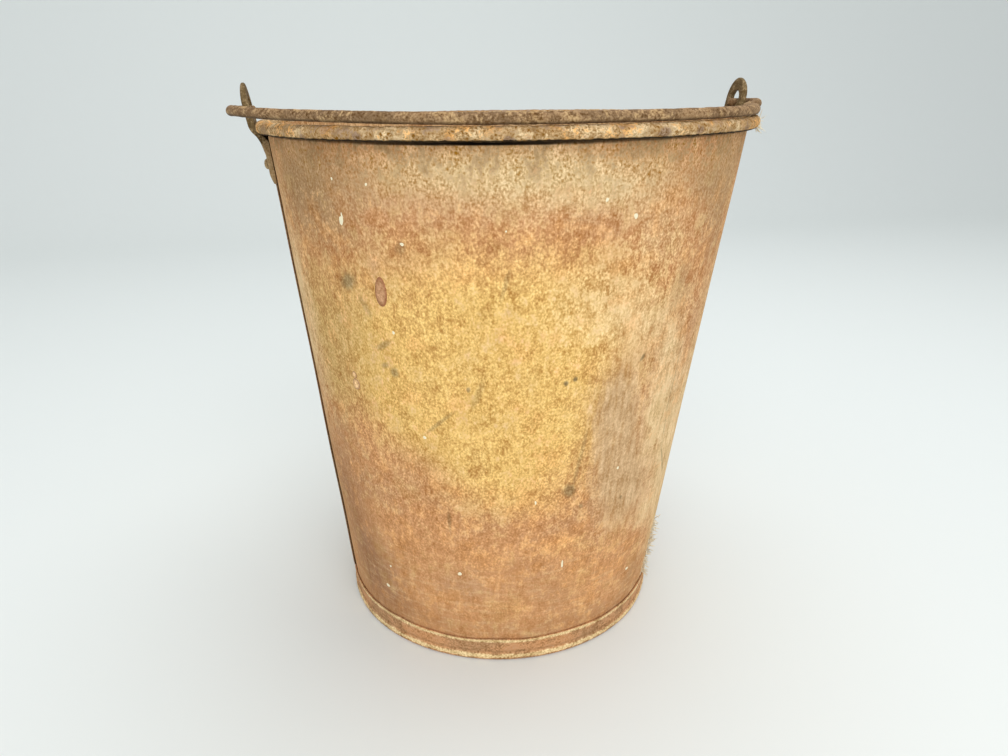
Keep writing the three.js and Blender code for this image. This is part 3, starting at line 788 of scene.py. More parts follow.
def ear_back(body, ear, y, z):
    """The ear's inner face: on the round of the wall, across to the bead, then leaning out with the eye."""
    low, _, _, tip = ear_heights(body, ear)
    _, bead, bead_r, bead_z = bead_circle(body)
    seat = bead + body.clearance
    foot_r = wall_radius(body, low)
    sink = foot_r - math.sqrt(foot_r**2 - (ear.plate_width / 2) ** 2)
    corner = meeting(body, ear, body.clearance - sink, seat - sink)
    hug = arc((bead_r, bead_z), seat - sink, -ear.crank, -ear.lean, 6)
    side = join(
        line(wall_point(body, low, body.clearance - sink), corner, 3),
        line(corner, hug[0], 3),
        hug,
        line(hug[-1], eye_point(body, ear, seat - sink, tip), 3),
    )
    flat = np.interp(z, side[:, 1], side[:, 0])
    wall = wall_radius(body, z, body.clearance)
    circle = bead_r + np.sqrt(np.clip(seat**2 - (z - bead_z) ** 2, 0, None))
    seat_r = np.where(np.abs(z - bead_z) < seat, circle, np.where(z < bead_z, wall, 0))
    return np.maximum(flat, np.sqrt(np.clip(seat_r**2 - y**2, 0, None)))


def ear_outlines(body, ear):
    """The ear from the front as (across, height): its outline, and the matching points round its hole.

    Both start at the right of the eye and go round the top. Over the eye they follow two arcs, and below it
    the outline's length is shared out along the lower half of the hole.
    """
    low, plate_top, middle, tip = ear_heights(body, ear)
    plate, neck, eye = ear.plate_width / 2, ear.neck_width / 2, ear.eye_width / 2
    corner = low + ear.corner
    neck_z = (plate_top + middle) / 2
    lower, upper = (neck_z - plate_top) / 2, (middle - neck_z) / 2
    top = np.linspace(0, math.pi, 61)
    over = np.stack([eye * np.cos(top), middle + (tip - middle) * np.sin(top)], axis=-1)
    waist = (-neck, neck_z)
    left = join(
        bezier([(-eye, middle), (-eye, middle - upper), (-neck, neck_z + upper), waist], 16),
        bezier([waist, (-neck, neck_z - lower), (-plate, plate_top + lower), (-plate, plate_top)], 16),
        line((-plate, plate_top), (-plate, corner), 14),
        arc((ear.corner - plate, corner), ear.corner, math.pi, 1.5 * math.pi, 10),
        line((ear.corner - plate, low), (0, low), 12),
    )
    under = join(left, left[::-1] * [-1, 1])
    steps = np.linalg.norm(np.diff(under, axis=0), axis=1)
    share = np.concatenate([[0], np.cumsum(steps)]) / steps.sum()
    half = ear.hole_width / 2
    hole_top = np.stack([half * np.cos(top), middle + (ear.hole_height - half) * np.sin(top)], axis=-1)
    below = math.pi * (1 + share)
    hole_under = np.stack([half * np.cos(below), middle + half * np.sin(below)], axis=-1)
    return np.concatenate([over, under[1:-1]]), np.concatenate([hole_top, hole_under[1:-1]])


def build_ear(body, ear, name, facing, materials):
    """One ear: rays from the eye's hole to the outline, on the outer face and back along the inner one.

    Each ray's face drops by a quarter round near its two ends, which rounds the edges.
    """
    outline, hole = ear_outlines(body, ear)
    front = ear_front(body, ear)
    reach = np.linalg.norm(outline - hole, axis=1)
    bend = np.linspace(0, math.pi / 2, 6)
    from_edge = ear.edge * (1 - np.cos(bend))
    drop_edge = ear.edge * (1 - np.sin(bend))
    share = np.linspace(0, 1, 34)[1:-1, None]
    middle = from_edge[-1] + share * (reach - 2 * from_edge[-1])
    edge = from_edge[:, None] + 0 * reach
    far = np.concatenate([edge, middle, (reach - edge)[::-1]])
    drop = np.concatenate([drop_edge, 0 * share[:, 0], drop_edge[::-1]])[:, None]
    flat = hole + (far / reach)[..., None] * (outline - hole)
    y, z = flat[..., 0], flat[..., 1]
    outer = np.interp(z, front[:, 1], front[:, 0])
    inner = ear_back(body, ear, y, z)
    if facing < 0:
        seam = body.seam_width / 2 + body.clearance
        groove = wall_radius(body, z, body.seam_height + 2 * body.clearance)
        on_wall = z < body.height - 2 * bead_circle(body)[1]
        inner = np.where((np.abs(y) < seam) & on_wall, np.maximum(inner, groove), inner)
    thin = np.minimum(drop, 0.45 * (outer - inner))
    pit = ear.pits * waves(np.stack([outer, y, z + facing], axis=-1), 7 * MM, 11)
    outer_face = np.stack([outer - thin - np.abs(pit), y, z], axis=-1)
    inner_face = np.stack([inner + thin, y, z], axis=-1)[::-1]
    points = np.concatenate([outer_face, inner_face]) * [facing, facing, 1]
    plate_top = ear_heights(body, ear)[1]
    plate = (1 - smooth(plate_top - 2 * MM, body.height - 2 * MM, points[..., 2])) * (facing < 0)
    return new_piece(
        name + "_forging", settle(body, points), "bucket", materials, [name],
        layers={"plate": plate},
    )


def build_rivet(body, ear, name, facing, along, materials):
    """One rivet: its profile from the hammered end inside to the domed head, turned about its own axis."""
    height = ear_heights(body, ear)[0] + ear.rivet_rise
    radius = wall_radius(body, height)
    reach = (ear.rivet_pitch + ear.peen_width) / 2
    outer = 2 * body.clearance + ear.plate_sheet
    inner = -body.sheet - body.clearance - (radius - math.sqrt(radius**2 - reach**2))
    shank, head, peen = ear.rivet / 2, ear.head_width / 2, ear.peen_width / 2
    profile = join(
        bezier([(0, inner - ear.peen_height), (peen, inner - ear.peen_height), (peen, inner)], 12),
        line((peen, inner), (shank, inner), 2),
        line((shank, inner), (shank, outer), 3),
        line((shank, outer), (head, outer), 3),
        bezier([(head, outer), (head, outer + ear.head_height), (0, outer + ear.head_height)], 14),
    )
    own = turn(profile, full_circle(ROUND["rivet"]))
    worn = 1 + ear.rivet_wear * waves(own * [1, 1, 0] + along, 6 * MM, 12)
    own = own * np.stack([worn, worn, np.ones_like(worn)], axis=-1)
    slope = wall_angle(body)
    out = np.array([math.cos(slope), 0, -math.sin(slope)])
    up = np.array([math.sin(slope), 0, math.cos(slope)])
    aside = np.array([0, 1, 0])
    place = np.array([radius, along, height])
    points = place + own[..., 2:] * out + own[..., :1] * aside + own[..., 1:2] * up
    points = points * [facing, facing, 1]
    return new_piece(
        name + "_dome", settle(body, points), "bucket", materials, [name],
        closed_rows=False, weld=True, layers={"plate": facing < 0},
    )


# Bail

def bail_half(body, ear, bail, flare):
    """The rod's middle line from the front to the right hook: round the rim, past the ear, in at its eye."""
    shoulder, rounding, tip = eye_tip(body, ear)
    ear_out = (shoulder[0] + 2 * rounding[0] + tip[0]) / 4
    hook = ear_out + body.clearance + bail.rod / 2 + bail.play
    radius = bead_circle(body)[2] + body.clearance
    front_z = body.height + body.clearance + bail.rod / 2
    pull = 4 / 3 * math.tan((math.pi / 2 - flare) / 4) * radius
    sin, cos = math.sin(flare), math.cos(flare)
    front = np.array([0, -radius, front_z])
    leave = np.array([radius * cos, -radius * sin, front_z])
    reach = np.array([hook, PIVOT_HEIGHT + bail.flare_start - tip[1], PIVOT_HEIGHT])
    slow = np.linalg.norm(reach - leave) * bail.flare_pull
    bend = 4 / 3 * math.tan(math.pi / 8) * bail.bend
    start = np.array([hook, -bail.bend, PIVOT_HEIGHT])
    end = np.array([hook - bail.bend, 0, PIVOT_HEIGHT])
    return join(
        bezier([front, front + [pull, 0, 0], leave - [pull * sin, pull * cos, 0], leave], 210),
        bezier([leave, leave + [slow * sin, slow * cos, 0], reach - [0, slow, 0], reach], 70),
        line(reach, start, 14),
        bezier([start, start + [0, bend, 0], end + [bend, 0, 0], end], 22),
        line(end, (hook - bail.hook_reach, 0, PIVOT_HEIGHT), 14),
    )


def bail_route(body, ear, bail):
    """The rod's middle line from hook to hook: the left half mirrored, with a soft rise, then the right."""
    left = bail_half(body, ear, bail, bail.flare_left)
    right = bail_half(body, ear, bail, bail.flare_right)
    aside = np.degrees(np.arctan2(left[:, 0], -left[:, 1]))
    left[:, 2] += bail.bow * smooth(12, 58, aside) * smooth(88, 74, aside)
    return join(left[::-1] * [-1, 1, 1], right) - [bail.shift, 0, 0]


def build_bail(body, ear, bail, materials):
    """The bail: a round section carried along its route, pitted by short waves and rounded at both ends."""
    route = bail_route(body, ear, bail)
    ends = np.array([0, 0.55, 0.85, 1.0])
    ahead = np.gradient(route, axis=0)
    ahead /= np.linalg.norm(ahead, axis=1, keepdims=True)
    aside = np.cross(ahead, [0, 0, 1])
    aside /= np.linalg.norm(aside, axis=1, keepdims=True)
    up = np.cross(aside, ahead)
    around = np.linspace(0, 2 * math.pi, ROUND["rod"], endpoint=False)
    ring = np.cos(around)[None, :, None] * aside[:, None] + np.sin(around)[None, :, None] * up[:, None]
    wide = np.full(len(route), bail.rod / 2)
    wide[: len(ends)] *= ends
    wide[-len(ends):] *= ends[::-1]
    surface = route[:, None] + ring * wide[:, None, None]
    rough = waves(surface, 9 * MM, 13) + 0.7 * waves(surface, 3.2 * MM, 14)
    pit = bail.pits * np.clip(rough, -2, 1)
    points = surface + ring * (pit * (wide > 0)[:, None])[..., None]
    # under: where painted shade darkens the rod's underside.
    layers = {"high": rough, "under": smooth(0.1, 0.95, -np.sin(around))}
    return new_piece(
        "pail_bail", settle(body, points), "bail", materials, ["bail"],
        closed_rows=False, weld=True, layers=layers,
    )


# Marks

# Small marks on the wall: angle from the front in degrees and height in millimetres, then half of their
# width and height in millimetres.
PAINT_FLECKS = [
    (-49.2, 281.6, 1.7, 2.2),
    (-48.8, 283.8, 0.7, 1.9),
    (-50.2, 302.5, 0.7, 0.8),
    (-41.0, 300.9, 0.7, 0.8),
    (7.5, 293.5, 0.9, 1.0),
    (14.7, 284.4, 1.3, 1.4),
    (-38.3, 223.8, 0.9, 0.9),
    (-32.6, 161.8, 1.0, 1.1),
    (-53.4, 39.3, 1.5, 1.4),
    (-50.4, 57.8, 0.8, 0.9),
    (-24.7, 67.8, 1.4, 1.2),
    (6.6, 72.8, 0.7, 2.8),
    (-34.0, 272.3, 1.2, 0.8),
    (-3.1, 121.3, 0.6, 1.3),
    (21.3, 134.5, 0.9, 1.0),
    (-12.4, 280.0, 0.5, 0.5),
    (35.6, 46.3, 1.4, 1.2),
]
RED_BLISTERS = [(-40.5, 245.8, 3.7, 8.8)]
RUST_DROPS = [(-53.2, 192.2, 1.8, 2.2), (-53.1, 186.3, 3.2, 3.6)]

# Each kind of mark: its spots, how far they bulge, the share by which their outlines swing, and a seed.
WALL_MARKS = {
    "paint_fleck": (PAINT_FLECKS, 0.12 * MM, 0.12, 31),
    "red_blister": (RED_BLISTERS, 0.5 * MM, 0.04, 32),
    "rust_drop": (RUST_DROPS, 0.4 * MM, 0.05, 33),
}

# Stains in the wall's rust: the same four numbers, then a tilt in degrees and a strength.
STAINS = [
    (-49.9, 248.8, 5.8, 4.0, 35, 0.75),
    (-45.6, 236.5, 1.8, 7.0, 30, 0.35),
    (-41.6, 215.5, 6.5, 1.8, 30, 0.5),
    (-39.3, 200.2, 2.8, 2.8, 0, 0.65),
    (-41.8, 203.4, 2.6, 1.5, 20, 0.5),
    (-28.6, 171.8, 1.2, 12.0, -48, 0.45),
    (-18.2, 192.6, 2.0, 9.0, -20, 0.3),
    (6.2, 126.8, 4.0, 4.4, 20, 0.7),
    (8.2, 146.0, 1.4, 19.0, -8, 0.35),
    (-27.0, 107.0, 1.2, 7.0, 0, 0.45),
    (-20.6, 194.6, 1.1, 1.5, 0, 0.7),
    (2.4, 197.0, 1.3, 1.5, 0, 0.9),
    (4.6, 198.9, 1.2, 1.4, 0, 0.9),
    (23.3, 204.5, 1.2, 2.2, -30, 0.8),
    (24.6, 111.6, 1.1, 1.3, 0, 0.7),
    (10.3, 114.2, 1.4, 1.6, 0, 0.5),
    (-34.4, 270.4, 2.6, 3.4, -20, 0.4),
    (-12.4, 252.6, 1.2, 8.0, -12, 0.35),
    (40.2, 182.0, 1.2, 24.0, -2, 0.25),
    (41.4, 146.0, 1.2, 12.0, 8, 0.25),
    (46.2, 119.0, 1.2, 16.0, 34, 0.45),
]

# Tufts of lint: count, lowest and highest point, the angles there, start out from the wall, and reach, in
# millimetres and degrees. Then how far a fibre strays from those angles, and how thick it is.
LINT_TUFTS = {
    "foot_lint": (320, 14, 64, 58, 56, -0.3, 3.2),
    "rim_lint": (40, 320, 327, 62, 66, 4.5, 5.0),
}
LINT_STRAY = 1.6
LINT_THICKNESS = 0.3 * MM


def build_spots(body, foot, name, spots, bulge, swing, seed, materials):
    """Low domes on the wall, one for each spot: rings that shrink to its middle while they rise.

    Each outline is an oval whose radius swings by a share of itself, and its edge lies just under the face.
    """
    rings = np.array([1.0, 0.93, 0.78, 0.5, 0.0])
    rise = bulge * np.array([-0.6, 0.45, 0.8, 0.97, 1.0])
    around = np.linspace(0, 2 * math.pi, ROUND["spot"], endpoint=False)
    rng = np.random.default_rng(seed)
    for index, (middle, level, wide, tall) in enumerate(spots):
        waver = np.sin(2 * around + rng.uniform(0, 6)) + 0.6 * np.sin(3 * around + rng.uniform(0, 6))
        wobble = 1 + swing * waver
        aside = rings[:, None] * wide * MM * np.cos(around) * wobble
        height = level * MM + rings[:, None] * tall * MM * np.sin(around) * wobble
        radius = wall_radius(body, height, rise[:, None])
        turned = math.radians(middle) + aside / radius
        grid = radius[..., None] * away(turned) + height[..., None] * [0, 0, 1]
        grid = grid + wall_dents(body, foot, grid, height)[..., None] * away(turned)
        new_piece(
            f"{name}_{index}", settle(body, grid), "bucket", materials,
            closed_rows=False, weld=True, layers={"edge": rings[:, None]},
        )


def build_lint(body, name, tuft, materials):
    """Fibres caught on the rust: thin three-sided threads, thickest in their middle, that curl as they leave.

    Each thread starts just inside the metal and follows a parabola out and aside. The tuft gives how many
    there are, the lowest and highest point, the angles there, how far out they start from the wall, and
    the longest reach.
    """
    count, low, high, low_angle, high_angle, out, reach = tuft
    rng = np.random.default_rng(count)
    share = rng.uniform(0, 1, count)
    height = (low + (high - low) * share) * MM
    turned = np.radians(low_angle + (high_angle - low_angle) * share + LINT_STRAY * rng.normal(size=count))
    radius = wall_radius(body, height, out * MM)
    outward = away(turned)
    start = radius[:, None] * outward + height[:, None] * [0, 0, 1]
    far = rng.uniform(0.3, 1, count)[:, None, None] * reach * MM
    aim = outward * rng.uniform(0.25, 0.7, count)[:, None] + rng.normal(0, 0.45, (count, 3))
    curl = rng.normal(0, 0.6, (count, 3)) + 0.25 * outward
    along = np.linspace(0, 1, 9)[None, :, None]
    middle = start[:, None] + far * (along * aim[:, None] + along**2 * curl[:, None])
    thick = LINT_THICKNESS * np.sin(math.pi * along) ** 0.5
    corner = np.linspace(0, 2 * math.pi, ROUND["lint"], endpoint=False)
    section = np.stack([np.cos(corner), np.sin(corner), 0.5 * np.sin(corner + 1)], axis=-1)
    threads = middle[:, :, None] + thick[..., None] * section
    return new_piece(
        name, settle(body, threads), "bucket", materials, closed_rows=False, weld=True
    )


# Shaders

# What the darkest and the lightest grain do to each channel of a rust's colour.
DARK_GRAIN = (0.45, 0.30, 0.06)
LIGHT_GRAIN = (1.55, 1.70, 1.94)

# How strongly each patch of rust covers those laid before it.
COVERS = {
    "ochre": 0.95,
    "olive": 0.95,
    "sand": 0.95,
    "pale": 0.95,
    "plum": 0.95,
    "umber": 0.95,
    "mauve": 0.95,
    "amber": 0.75,
}


class Value:
    """A number or colour from a node's socket. Arithmetic on it adds Math nodes to the same tree."""

    def __init__(self, shader, socket):
        self.shader = shader
        self.socket = socket

    def math(self, operation, first, second):
        return self.shader.node("ShaderNodeMath", {"operation": operation}, {0: first, 1: second})

    def __add__(self, other):
        return self.math("ADD", self, other)

    def __sub__(self, other):
        return self.math("SUBTRACT", self, other)

    def __rsub__(self, other):
        return self.math("SUBTRACT", other, self)

    def __mul__(self, other):
        return self.math("MULTIPLY", self, other)

    def swing(self, strength):
        """A noise from 0 to 1 made to swing about 0 by this strength."""
        return (self - 0.5) * strength

    __radd__ = __add__
    __rmul__ = __mul__


class Shader:
    """A material's node tree, with one method that adds any node."""

    def __init__(self, name):
        self.material = bpy.data.materials.new(name)
        self.material.use_nodes = True
        self.tree = self.material.node_tree
        self.tree.nodes.clear()

    def node(self, kind, settings=None, inputs=None, output=0):
        """Adds a node: its settings are set first, then its inputs, each by its place or name."""
        node = self.tree.nodes.new(kind)
        for key, value in (settings or {}).items():
            setattr(node, key, value)
        for key, value in (inputs or {}).items():
            socket = node.inputs[key]
            if isinstance(value, Value):
                self.tree.links.new(value.socket, socket)
            elif socket.type == "RGBA":
                socket.default_value = (*value, 1)
            else:
                socket.default_value = value
        return Value(self, node.outputs[output]) if node.outputs else None

    def place(self, scale=(1, 1, 1)):
        """Object coordinates, scaled along each axis."""
        coordinates = self.node("ShaderNodeTexCoord", output=3)
        return self.node("ShaderNodeMapping", inputs={"Vector": coordinates, "Scale": scale})

    def layer(self, name):
        """The piece's own numbers of that name."""
        return self.node("ShaderNodeAttribute", {"attribute_name": name}, output=2)

    def noise(self, size, detail=3.0, roughness=0.55, scale=(1, 1, 1)):
        """Noise from 0 to 1 whose lumps are about this many metres across."""
        inputs = {"Vector": self.place(scale), "Scale": 1 / size, "Detail": detail, "Roughness": roughness}
        return self.node("ShaderNodeTexNoise", inputs=inputs)

    def step(self, value, low, high):
        """A soft step from 0 at low to 1 at high."""
        inputs = {"Value": value, "From Min": low, "From Max": high}
        return self.node("ShaderNodeMapRange", {"interpolation_type": "SMOOTHSTEP"}, inputs)

    def ramp(self, value, low, high):
        """An even rise from 0 at low to 1 at high."""
        return self.node("ShaderNodeMapRange", inputs={"Value": value, "From Min": low, "From Max": high})

    def mix(self, share, first, second):
        """A colour between two others."""
        return self.node("ShaderNodeMix", {"data_type": "RGBA"}, {0: share, 6: first, 7: second}, output=2)

    def tone(self, share, base):
        """The colour's darker, browner grain at share 0, and its lighter, creamier grain at 1."""
        ends = {0: share, 4: DARK_GRAIN, 5: LIGHT_GRAIN}
        change = self.node("ShaderNodeMix", {"data_type": "VECTOR"}, ends, output=1)
        return self.node("ShaderNodeVectorMath", {"operation": "MULTIPLY"}, {0: base, 1: change})

    def stain(self, place, level, wide, tall, tilt, edge):
        """A soft oval on the wall's chart, in degrees and millimetres, whose edge follows a noise."""
        chart = self.node("ShaderNodeUVMap", {"uv_map": "chart"})
        oval = {
            "Vector": chart,
            "Location": (math.radians(place) * CHART_RADIUS, level * MM, 0),
            "Rotation": (0, 0, math.radians(tilt)),
            "Scale": (wide * MM, tall * MM, 1),
        }
        spread = self.node("ShaderNodeMapping", {"vector_type": "TEXTURE"}, oval)
        far = self.node("ShaderNodeVectorMath", {"operation": "LENGTH"}, {0: spread}, output=1)
        return 1 - self.step(far + edge.swing(1.2), 0.45, 1.5)

    def finish(self, base, roughness, height=None, depth=0.0, specular=0.2):
        """The metal's surface: its colour, its roughness and a bump of this depth in metres."""
        inputs = {"Base Color": base, "Roughness": roughness, "Specular IOR Level": specular}
        if height is not None:
            inputs["Normal"] = self.node("ShaderNodeBump", inputs={"Distance": depth, "Height": height})
        surface = self.node("ShaderNodeBsdfPrincipled", inputs=inputs)
        self.node("ShaderNodeOutputMaterial", inputs={"Surface": surface})
        return self.material


def wall_rust(colours):
    """The wall: broad patches of rust with broken edges, grain, dark specks, rubbed streaks and stains, and
    painted shade beside the seam, above the hoop and under the bead.
    """
    shader = Shader("wall_rust")
    fine = shader.noise(1.15 * MM, 2.0, 0.55, (1, 1, 0.8))
    grain = shader.noise(3.4 * MM, 3.0, 0.6, (1, 1, 0.7))
    mottle = shader.noise(11 * MM, 4.0, 0.6)
    blotch = shader.noise(19 * MM, 4.0, 0.6)
    cloud = shader.noise(36 * MM, 3.0)
    streak = shader.noise(2.6 * MM, 3.0, 0.6, (1, 1, 0.06))
    scuff = shader.noise(2.2 * MM, 3.0, 0.6, (0.14, 0.14, 1))
    broken = fine.swing(0.7) + grain.swing(0.8) + mottle.swing(0.8) + cloud.swing(0.5)
    base = shader.mix(shader.step(cloud + mottle.swing(0.9), 0.46, 0.66) * 0.5, colours.rust, colours.plum)
    base = shader.mix(shader.step(mottle + grain.swing(0.5), 0.54, 0.7) * 0.4, base, colours.amber)
    for rust, strength in COVERS.items():
        share = shader.ramp(shader.layer(rust) + broken, 0.12, 1.0) * strength
        base = shader.mix(share, base, getattr(colours, rust))
    # Towards the rim: more dark and pale rust specks and stronger grain, partly painted shade under the bead.
    grime = shader.layer("grime")
    warm = shader.step(blotch + grain.swing(0.5), 0.5, 0.7) * (1 - grime)
    base = shader.mix(warm * 0.35, base, colours.amber)
    base = shader.mix(shader.step(0.5 - blotch + grain.swing(0.5), 0.0, 0.2) * 0.25, base, colours.olive)
    rubbed = shader.step(shader.layer("stone") + streak.swing(1.6) + blotch.swing(0.8), 0.15, 1.05)
    base = shader.mix(rubbed * 0.55 + shader.ramp(shader.layer("stone"), 0.2, 1.0) * 0.4, base, colours.stone)
    scratched = shader.step(scuff + shader.layer("low") * 0.12, 0.62, 0.76)
    base = shader.mix(scratched * shader.layer("low") * 0.18, base, colours.sand)
    base = shader.mix(shader.layer("inside") * 0.75, base, colours.umber)
    for place, level, wide, tall, tilt, strength in STAINS:
        base = shader.mix(shader.stain(place, level, wide, tall, tilt, grain) * strength, base, colours.slate)
    lumps = grain.swing(1.4) + mottle.swing(1.1) + fine.swing(0.9)
    base = shader.mix(shader.step(lumps + grime * 0.1, 0.05, 0.32) * grime * 0.75, base, colours.speck_and_shade)
    base = shader.mix(shader.step(0 - lumps, 0.03, 0.3) * grime * 0.55, base, colours.straw)
    calm = shader.step(shader.layer("stone") + shader.layer("sand"), 0.25, 0.9)
    contrast = 1.0 + shader.layer("ochre") * 0.05 - calm * 0.4 + grime * 0.9 - shader.layer("low") * 0.45
    rough = fine.swing(1.3) + grain.swing(0.85)
    rough = rough * (1 + rough * 0.9) - 0.01
    tone = rough * contrast + mottle.swing(0.65) + (streak - 0.5) * (calm * 0.5 + 0.35) + 0.5
    base = shader.tone(tone, base)
    # Painted shade, nearly black, beside the seam, above the hoop and under the bead.
    base = shader.mix(shader.layer("crevice"), base, colours.pit)
    return shader.finish(base, 0.75 + grain * 0.2, fine * 0.4 + grain * 0.6 + mottle * 0.8, 0.12 * MM, 0.06)


def rim_rust(colours):
    """The rim: plates of tan, orange and straw scale with purple-grey scabs and pits, and black painted shade
    on its underside and inside the roll.
    """
    shader = Shader("rim_rust")
    fine = shader.noise(1.2 * MM, 3.0, 0.65)
    flake = shader.noise(3.2 * MM, 3.0, 0.6)
    patch = shader.noise(11 * MM, 3.0)
    shade = shader.noise(17 * MM, 3.0)
    broken = flake.swing(0.9) + fine.swing(0.6)
    base = shader.mix(shader.step(shade + broken, 0.46, 0.68) * 0.6, colours.tan, colours.straw)
    base = shader.mix(shader.step(patch + broken, 0.53, 0.68) * 0.8, base, colours.crust)
    base = shader.mix(shader.step(0.5 - patch + broken, 0.06, 0.24) * 0.6, base, colours.umber)
    base = shader.mix(shader.step(0.5 - shade + broken * 1.2, 0.08, 0.22) * 0.75, base, colours.scab)
    base = shader.mix(shader.step(shader.layer("scab") + broken * 1.4, 0.25, 0.6) * 0.9, base, colours.scab)
    base = shader.tone(fine.swing(2.3) + flake.swing(1.3) + 0.5, base)
    pits = shader.step(0 - shader.layer("high") + fine.swing(3.0), 0.4, 1.2) * 0.55
    base = shader.mix(pits, base, colours.speck_and_shade)
    # Painted shade: black on the bead's underside and inside the roll.
    under = shader.step(shader.layer("under") + broken * 1.3, 0.25, 0.75)
    base = shader.mix(under * 0.94, base, colours.pit)
    return shader.finish(base, 0.78 + fine * 0.15, fine * 0.5 + flake, 0.3 * MM, 0.06)


def bail_rust(colours):
    """The bail: dull brown rust with soft tan and orange patches, and painted shade on its underside."""
    shader = Shader("bail_rust")
    fine = shader.noise(1.1 * MM, 3.0, 0.65)
    flake = shader.noise(3.0 * MM, 3.0, 0.6)
    patch = shader.noise(9 * MM, 3.0)
    shade = shader.noise(21 * MM, 3.0)
    broken = flake.swing(0.8) + fine.swing(0.5)
    base = shader.mix(shader.step(shade + broken, 0.42, 0.66) * 0.7, colours.rod, colours.umber)
    base = shader.mix(shader.step(patch + broken, 0.52, 0.72) * 0.65, base, colours.rod_pale)
    base = shader.mix(shader.step(0.5 - patch + broken, 0.06, 0.26) * 0.5, base, colours.speck_and_shade)
    base = shader.tone(fine.swing(2.0) + flake.swing(1.2) + shader.layer("high") * 0.04 + 0.5, base)
    # Painted shade on the rod's underside.
    base = shader.mix(shader.step(shader.layer("under") + broken, 0.25, 1.0) * 0.55, base, colours.pit)
    return shader.finish(base, 0.72 + fine * 0.18, fine * 0.5 + flake, 0.2 * MM)


def ear_rust(colours):
    """The ears and rivets: dark olive-brown rust, paler on the left plate and in rubbed places."""
    shader = Shader("ear_rust")
    fine = shader.noise(1.0 * MM, 3.0, 0.65)
    flake = shader.noise(3.4 * MM, 3.0, 0.6)
    broken = flake.swing(1.2) + fine.swing(0.8)
    base = shader.mix(shader.step(broken, -0.05, 0.3) * 0.6, colours.iron, colours.worn)
    base = shader.mix(shader.step(shader.layer("plate") + broken, 0.3, 0.8) * 0.8, base, colours.worn)
    base = shader.tone(fine.swing(1.4) + flake.swing(0.8) + 0.5, base)
    return shader.finish(base, 0.72 + fine * 0.18, fine * 0.5 + flake, 0.2 * MM)


def hoop_rust(colours):
    """The foot hoop: brown rust with grain, pale dirt and a painted highlight along its top edge and its
    bead, and painted shade in the crease above the bead.
    """
    shader = Shader("hoop_rust")
    fine = shader.noise(1.3 * MM, 2.0, 0.55)
    mottle = shader.noise(7 * MM, 4.0, 0.6)
    cloud = shader.noise(30 * MM, 3.0)
    broken = fine.swing(0.8) + mottle.swing(1.2)
    base = shader.mix(shader.step(cloud + broken * 0.6, 0.38, 0.64), colours.hoop, colours.rust)
    base = shader.mix(shader.step(mottle + fine.swing(0.8), 0.54, 0.72) * 0.5, base, colours.mauve)
    # Painted highlight with pale dirt on the top edge and the bead's crest.
    dust = shader.step(shader.layer("dust") + broken, 0.3, 0.9)
    base = shader.mix(dust * 0.85, base, colours.dust)
    base = shader.tone(fine.swing(1.3) + mottle.swing(0.9) + 0.5, base)
    # Painted shade in the crease above the bead.
    base = shader.mix(shader.layer("crevice") * 0.45, base, colours.speck_and_shade)
    return shader.finish(base, 0.75 + fine * 0.2, fine + mottle, 0.2 * MM)


def plain_rust(colours):
    """The wire and the bottom: brown rust with darker mottles."""
    shader = Shader("plain_rust")
    grain = shader.noise(1.4 * MM, 3.0, 0.6)
    mottle = shader.noise(12 * MM, 4.0, 0.6)
    base = shader.mix(shader.step(mottle + grain.swing(0.6), 0.4, 0.65), colours.umber, colours.rust)
    base = shader.mix(shader.step(grain * -1, -0.4, -0.3) * 0.6, base, colours.speck_and_shade)
    return shader.finish(base, 0.8 + grain * 0.15, grain + mottle, 0.3 * MM)


def lint(colours):
    """Pale fibres, dirtier in places."""
    shader = Shader("lint")
    cloud = shader.noise(4 * MM, 2.0)
    return shader.finish(shader.mix(shader.step(cloud, 0.4, 0.7) * 0.5, colours.lint, colours.sand), 0.9)


def paint(colours):
    """Splashes of old cream paint with dirty edges."""
    shader = Shader("old_paint")
    grain = shader.noise(0.8 * MM, 3.0, 0.6)
    base = shader.mix(shader.step(grain, 0.5, 0.75) * 0.35, colours.paint, colours.pale)
    return shader.finish(base, 0.55 + grain * 0.2, grain, 0.05 * MM)


def drop(name, body_colour, edge_colour):
    """A dried drop of rust, darker round its edge."""
    shader = Shader(name)
    fine = shader.noise(1.2 * MM, 3.0, 0.6)
    flake = shader.noise(3.5 * MM, 3.0, 0.6)
    edge = shader.step(shader.layer("edge") + flake.swing(0.5), 0.55, 0.95)
    base = shader.mix(edge * 0.9, body_colour, edge_colour)
    base = shader.tone(fine.swing(1.2) + flake.swing(1.2) + 0.5, base)
    return shader.finish(base, 0.6 + fine * 0.2, fine, 0.08 * MM)


# Stage

# Half the floor's width and its reach to the front, where it starts to sweep up behind, the sweep's radius,
# the backdrop's top and the point the lamps aim at, all in metres. Then the colour of the room's light, and
# the width of the camera's sensor in millimetres.
FLOOR_REACH = 3
SWEEP_START = 1.4
SWEEP_RADIUS = 0.8
BACKDROP_TOP = 3.5
LAMP_AIM = (0, 0, 0.17)
ROOM_COLOUR = (0.95, 0.98, 1.0, 1)
SENSOR_WIDTH = 36


